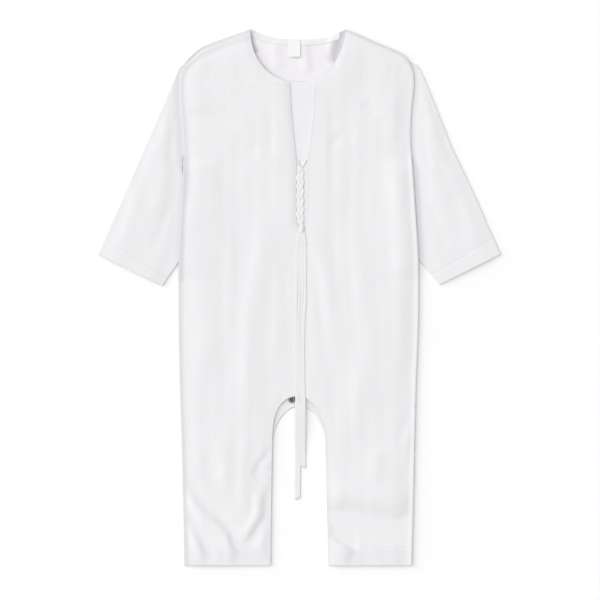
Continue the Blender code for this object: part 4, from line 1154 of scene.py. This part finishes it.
def shader_of(name, colour, roughness, **values):
    made = bpy.data.materials.new(name)
    made.use_nodes = True
    shader = made.node_tree.nodes["Principled BSDF"]
    fill(shader, Base_Color=(*colour, 1.0), Roughness=roughness, **values)
    return made, made.node_tree, shader


def math_node(tree, operation, first, second=None, third=None):
    made = tree.nodes.new("ShaderNodeMath")
    made.operation = operation
    for socket, value in zip(made.inputs, (first, second, third)):
        if value is None:
            continue
        if isinstance(value, (int, float)):
            socket.default_value = value
        else:
            tree.links.new(value, socket)
    return made.outputs[0]


def places_of(tree, turn, uv):
    coordinates = tree.nodes.new("ShaderNodeTexCoord")
    mapping = tree.nodes.new("ShaderNodeMapping")
    mapping.inputs["Rotation"].default_value = (0, 0, turn)
    tree.links.new(coordinates.outputs["UV" if uv else "Object"], mapping.inputs["Vector"])
    return mapping.outputs["Vector"]


def noise(tree, vector, scale, detail=3.0):
    made = tree.nodes.new("ShaderNodeTexNoise")
    fill(made, Scale=scale, Detail=detail)
    tree.links.new(vector, made.inputs["Vector"])
    return made.outputs["Fac"]


def tinted(tree, shader, factor, dark, light):
    """Varies the base colour softly between two tones."""
    ramp = tree.nodes.new("ShaderNodeValToRGB")
    ramp.color_ramp.elements[0].position = 0.3
    ramp.color_ramp.elements[1].position = 0.7
    ramp.color_ramp.elements[0].color = (*dark, 1.0)
    ramp.color_ramp.elements[1].color = (*light, 1.0)
    tree.links.new(factor, ramp.inputs["Fac"])
    tree.links.new(ramp.outputs["Color"], shader.inputs["Base Color"])
    return ramp.outputs["Color"]


def bumped(tree, shader, layers):
    """Bumps on bumps: each layer is a height, its strength and its depth in metres."""
    normal = None
    for height, strength, depth in layers:
        bump = tree.nodes.new("ShaderNodeBump")
        fill(bump, Strength=strength, Distance=depth)
        tree.links.new(height, bump.inputs["Height"])
        if normal is not None:
            tree.links.new(normal, bump.inputs["Normal"])
        normal = bump.outputs["Normal"]
    tree.links.new(normal, shader.inputs["Normal"])


def cotton(name, colour, turn=0.0, thread=0.00045):
    """Fine plain-woven cotton: threads over and under, slubs, a soft crinkle and a little sheen."""
    made, tree, shader = shader_of(
        name, colour, 0.8, Sheen_Weight=0.12, Sheen_Roughness=0.45, Specular_IOR_Level=0.25
    )
    vector = places_of(tree, turn, uv=False)
    axes = tree.nodes.new("ShaderNodeSeparateXYZ")
    tree.links.new(vector, axes.inputs[0])
    warp = math_node(tree, "SINE", math_node(tree, "MULTIPLY", axes.outputs["X"], math.pi / thread))
    weft = math_node(tree, "SINE", math_node(tree, "MULTIPLY", axes.outputs["Y"], math.pi / thread))
    weave = math_node(tree, "MULTIPLY", warp, weft)
    stretched = tree.nodes.new("ShaderNodeMapping")
    stretched.inputs["Scale"].default_value = (1.0, 0.06, 1.0)
    tree.links.new(vector, stretched.inputs["Vector"])
    tone = noise(tree, stretched.outputs["Vector"], 260.0, 3.0)
    crinkle = noise(tree, vector, 420.0, 3.0)
    ramp = tinted(tree, shader, tone, [c * 0.992 for c in colour], [min(1.0, c * 1.006) for c in colour])
    # Darkens the colour by the vertices' seam value: folded-in cloth, and painted shade along the seams
    seam = tree.nodes.new("ShaderNodeAttribute")
    seam.attribute_name = "seam"
    doubled_and_shade = tree.nodes.new("ShaderNodeMix")
    doubled_and_shade.data_type = "RGBA"
    doubled_and_shade.blend_type = "MULTIPLY"
    tree.links.new(seam.outputs["Fac"], doubled_and_shade.inputs[0])
    tree.links.new(ramp, doubled_and_shade.inputs[6])
    doubled_and_shade.inputs[7].default_value = (*DOUBLED_AND_SHADE_TONE, 1.0)
    tree.links.new(doubled_and_shade.outputs[2], shader.inputs["Base Color"])
    rough = math_node(tree, "MULTIPLY_ADD", crinkle, 0.12, 0.74)
    tree.links.new(rough, shader.inputs["Roughness"])
    bumped(tree, shader, ((crinkle, 0.25, 0.00010), (weave, 0.20, 0.00004)))
    return made


def twisted_cord(name, colour):
    """Soft cotton cord: fine plies that run round it aslant."""
    made, tree, shader = shader_of(name, colour, 0.85, Sheen_Weight=0.2, Specular_IOR_Level=0.2)
    vector = places_of(tree, math.radians(28), uv=True)
    plies = tree.nodes.new("ShaderNodeTexWave")
    fill(plies, Scale=420.0, Distortion=1.2, Detail=2.0)
    tree.links.new(vector, plies.inputs["Vector"])
    fuzz = noise(tree, vector, 1500.0, 2.0)
    # The plies' colour follows their bumps: painted shade in the grooves between them, and a painted highlight on their
    # crowns
    tinted(tree, shader, plies.outputs["Fac"], [c * 0.95 for c in colour], [min(1.0, c * 1.02) for c in colour])
    bumped(tree, shader, ((plies.outputs["Fac"], 0.35, 0.00012), (fuzz, 0.2, 0.00005)))
    return made


def satin(name, colour):
    """Woven label satin: fine ribs and a soft gloss."""
    made, tree, shader = shader_of(name, colour, 0.42, Sheen_Weight=0.1)
    vector = places_of(tree, 0.0, uv=False)
    ribs = tree.nodes.new("ShaderNodeTexWave")
    ribs.bands_direction = "Y"
    fill(ribs, Scale=900.0)
    tree.links.new(vector, ribs.inputs["Vector"])
    tinted(tree, shader, noise(tree, vector, 300.0), [c * 0.985 for c in colour], colour)
    bumped(tree, shader, ((ribs.outputs["Fac"], 0.2, 0.00003),))
    return made


def steel(name, colour):
    """Dull pressed steel with fine scratches."""
    made, tree, shader = shader_of(name, colour, 0.4, Metallic=1.0)
    vector = places_of(tree, 0.0, uv=False)
    rough = math_node(tree, "MULTIPLY_ADD", noise(tree, vector, 2500.0, 4.0), 0.25, 0.28)
    tree.links.new(rough, shader.inputs["Roughness"])
    tinted(tree, shader, noise(tree, vector, 900.0), [c * 0.85 for c in colour], colour)
    return made


def pale_floor(name):
    made, tree, shader = shader_of(name, (0.96, 0.96, 0.96), 0.9, Specular_IOR_Level=0.1)
    tinted(tree, shader, noise(tree, places_of(tree, 0.0, uv=False), 3.0), [0.955] * 3, [0.965] * 3)
    return made


# Tone multiplied in along the seams: folded-in cloth, and painted shade
DOUBLED_AND_SHADE_TONE = (0.70, 0.69, 0.72)
WHITE = (0.822, 0.818, 0.834)
INSIDE_WHITE = (0.856, 0.838, 0.862)
COTTON = cotton("white_cotton", WHITE)
LEFT_COTTON = cotton("white_cotton_left_sleeve", WHITE, turn=math.radians(23))
RIGHT_COTTON = cotton("white_cotton_right_sleeve", WHITE, turn=math.radians(-23))
INSIDE = cotton("white_cotton_inside", INSIDE_WHITE)
THREAD = twisted_cord("white_thread", (0.84, 0.84, 0.86))
CORD = twisted_cord("white_cord", (0.828, 0.828, 0.838))
BAND = cotton("white_cotton_band", (0.840, 0.840, 0.835))
SATIN = satin("label_satin", (0.86, 0.86, 0.86))
STEEL = steel("snap_steel", (0.30, 0.30, 0.31))

back = body_panel("back_cloth", "back", back_top, INSIDE, ["back_panel"], 48)
front = body_panel("front_cloth", "front", front_top, COTTON, ["front_panel"], 36)
left_sleeve = sleeve("left", LEFT_COTTON)
right_sleeve = sleeve("right", RIGHT_COTTON)
lap = underlap(COTTON)
# Painted shade along the seams, with their folded-in cloth, kept on the vertices for the cotton's tone
mark_seam_shade(back, back_seam_shade)
mark_seam_shade(front, body_seam_shade)
for each in (left_sleeve, right_sleeve):
    mark_seam_shade(each, sleeve_seam_shade)
facing = back_neck_facing(INSIDE)
label = size_label(SATIN)
band = snap_band(BAND)
crotch_snap(STEEL)
plaited_cord(CORD)
plait_ties(CORD)
tassel(CORD)

HEM_STITCH_Y = HEM_Y + HEM_WIDTH
CUFF_STITCH_SHARE = 1 - CUFF_HEM / SLEEVE_LENGTH


def hem_line(side):
    ends = [float(table_at(SIDES, side, HEM_STITCH_Y)), ARCH_X + sign_of(side) * 0.0328]
    x = np.linspace(ends[0] - sign_of(side) * 0.0012, ends[1] + sign_of(side) * 0.0008, 30)
    return np.stack([x, np.full(30, HEM_STITCH_Y)], axis=1)


def cuff_line(side):
    across = np.linspace(0.02, 0.98, 30)
    x, y = sleeve_plan(side, across, CUFF_STITCH_SHARE, 0.0)
    return np.stack([x, y], axis=1)


def sleeve_top_at(side):
    outer_x, outer_y, inner_x, inner_y = sleeve_row(side, CUFF_STITCH_SHARE)

    def height(x, y):
        across = (x - outer_x) / (inner_x - outer_x)
        return sleeve_faces(side, x, y, across, CUFF_STITCH_SHARE)[0]

    return height


front_rows = [(hem_line(side), front_top) for side in BOTH]
for lines, off, count in (
    (NECK_LINES, NECK_STITCH, None), (SLIT_LINES, SLIT_STITCH, SLIT_STITCH_POINTS), (LEG_LINES, LEG_STITCH, None)
):
    for side in BOTH:
        front_rows.append((inset(lines[side], sign_of(side) * off)[:count], front_top))
stitches("front_topstitch", front_rows, THREAD)
stitches("cuff_topstitch", [(cuff_line(side), sleeve_top_at(side)) for side in BOTH], THREAD)

# ---- The photograph's surroundings: a pale floor, soft light from the upper left, a camera straight above

SKY_STRENGTH = 1.45
SKY_LOWEST = 0.30
SKY_FROM = (-0.38, 0.20, 0.90)
SUN_STRENGTH = 0.96
SUN_WIDTH = math.radians(32)
SUN_TOWARD = (0.87, -0.42, -0.28)
SENSOR = 36.0
LENS = 90.0
VIEW_ACROSS = 0.690
VIEW_CENTRE = (0.0007, -0.0026)

floor_mesh = bmesh.new()
bmesh.ops.create_grid(floor_mesh, x_segments=1, y_segments=1, size=3.0)
floor_data = bpy.data.meshes.new("floor")
floor_mesh.to_mesh(floor_data)
floor_mesh.free()
floor = bpy.data.objects.new("floor", floor_data)
floor.data.materials.append(pale_floor("pale_floor"))
bpy.context.scene.collection.objects.link(floor)

sky = bpy.data.worlds.new("studio")
sky.use_nodes = True
dome = sky.node_tree
direction = dome.nodes.new("ShaderNodeTexCoord")
toward = dome.nodes.new("ShaderNodeVectorMath")
toward.operation = "DOT_PRODUCT"
dome.links.new(direction.outputs["Generated"], toward.inputs[0])
toward.inputs[1].default_value = Vector(SKY_FROM).normalized()
soft_box = math_node(dome, "POWER", math_node(dome, "MAXIMUM", toward.outputs["Value"], 0.0), 2.0)
strength = math_node(dome, "MULTIPLY_ADD", soft_box, SKY_STRENGTH, SKY_LOWEST)
dome.links.new(strength, dome.nodes["Background"].inputs["Strength"])
dome.nodes["Background"].inputs["Color"].default_value = (1.0, 1.0, 1.0, 1.0)
bpy.context.scene.world = sky

key_data = bpy.data.lights.new("key", "SUN")
key_data.energy = SUN_STRENGTH
key_data.angle = SUN_WIDTH
key = bpy.data.objects.new("key", key_data)
key.rotation_euler = Vector(SUN_TOWARD).to_track_quat("-Z", "Y").to_euler()
bpy.context.scene.collection.objects.link(key)

view = bpy.data.cameras.new("camera")
view.sensor_width = SENSOR
view.lens = LENS
camera = bpy.data.objects.new("camera", view)
camera.location = (*VIEW_CENTRE, VIEW_ACROSS * LENS / SENSOR)
bpy.context.scene.collection.objects.link(camera)
bpy.context.scene.camera = camera
bpy.context.scene.view_settings.view_transform = "Standard"
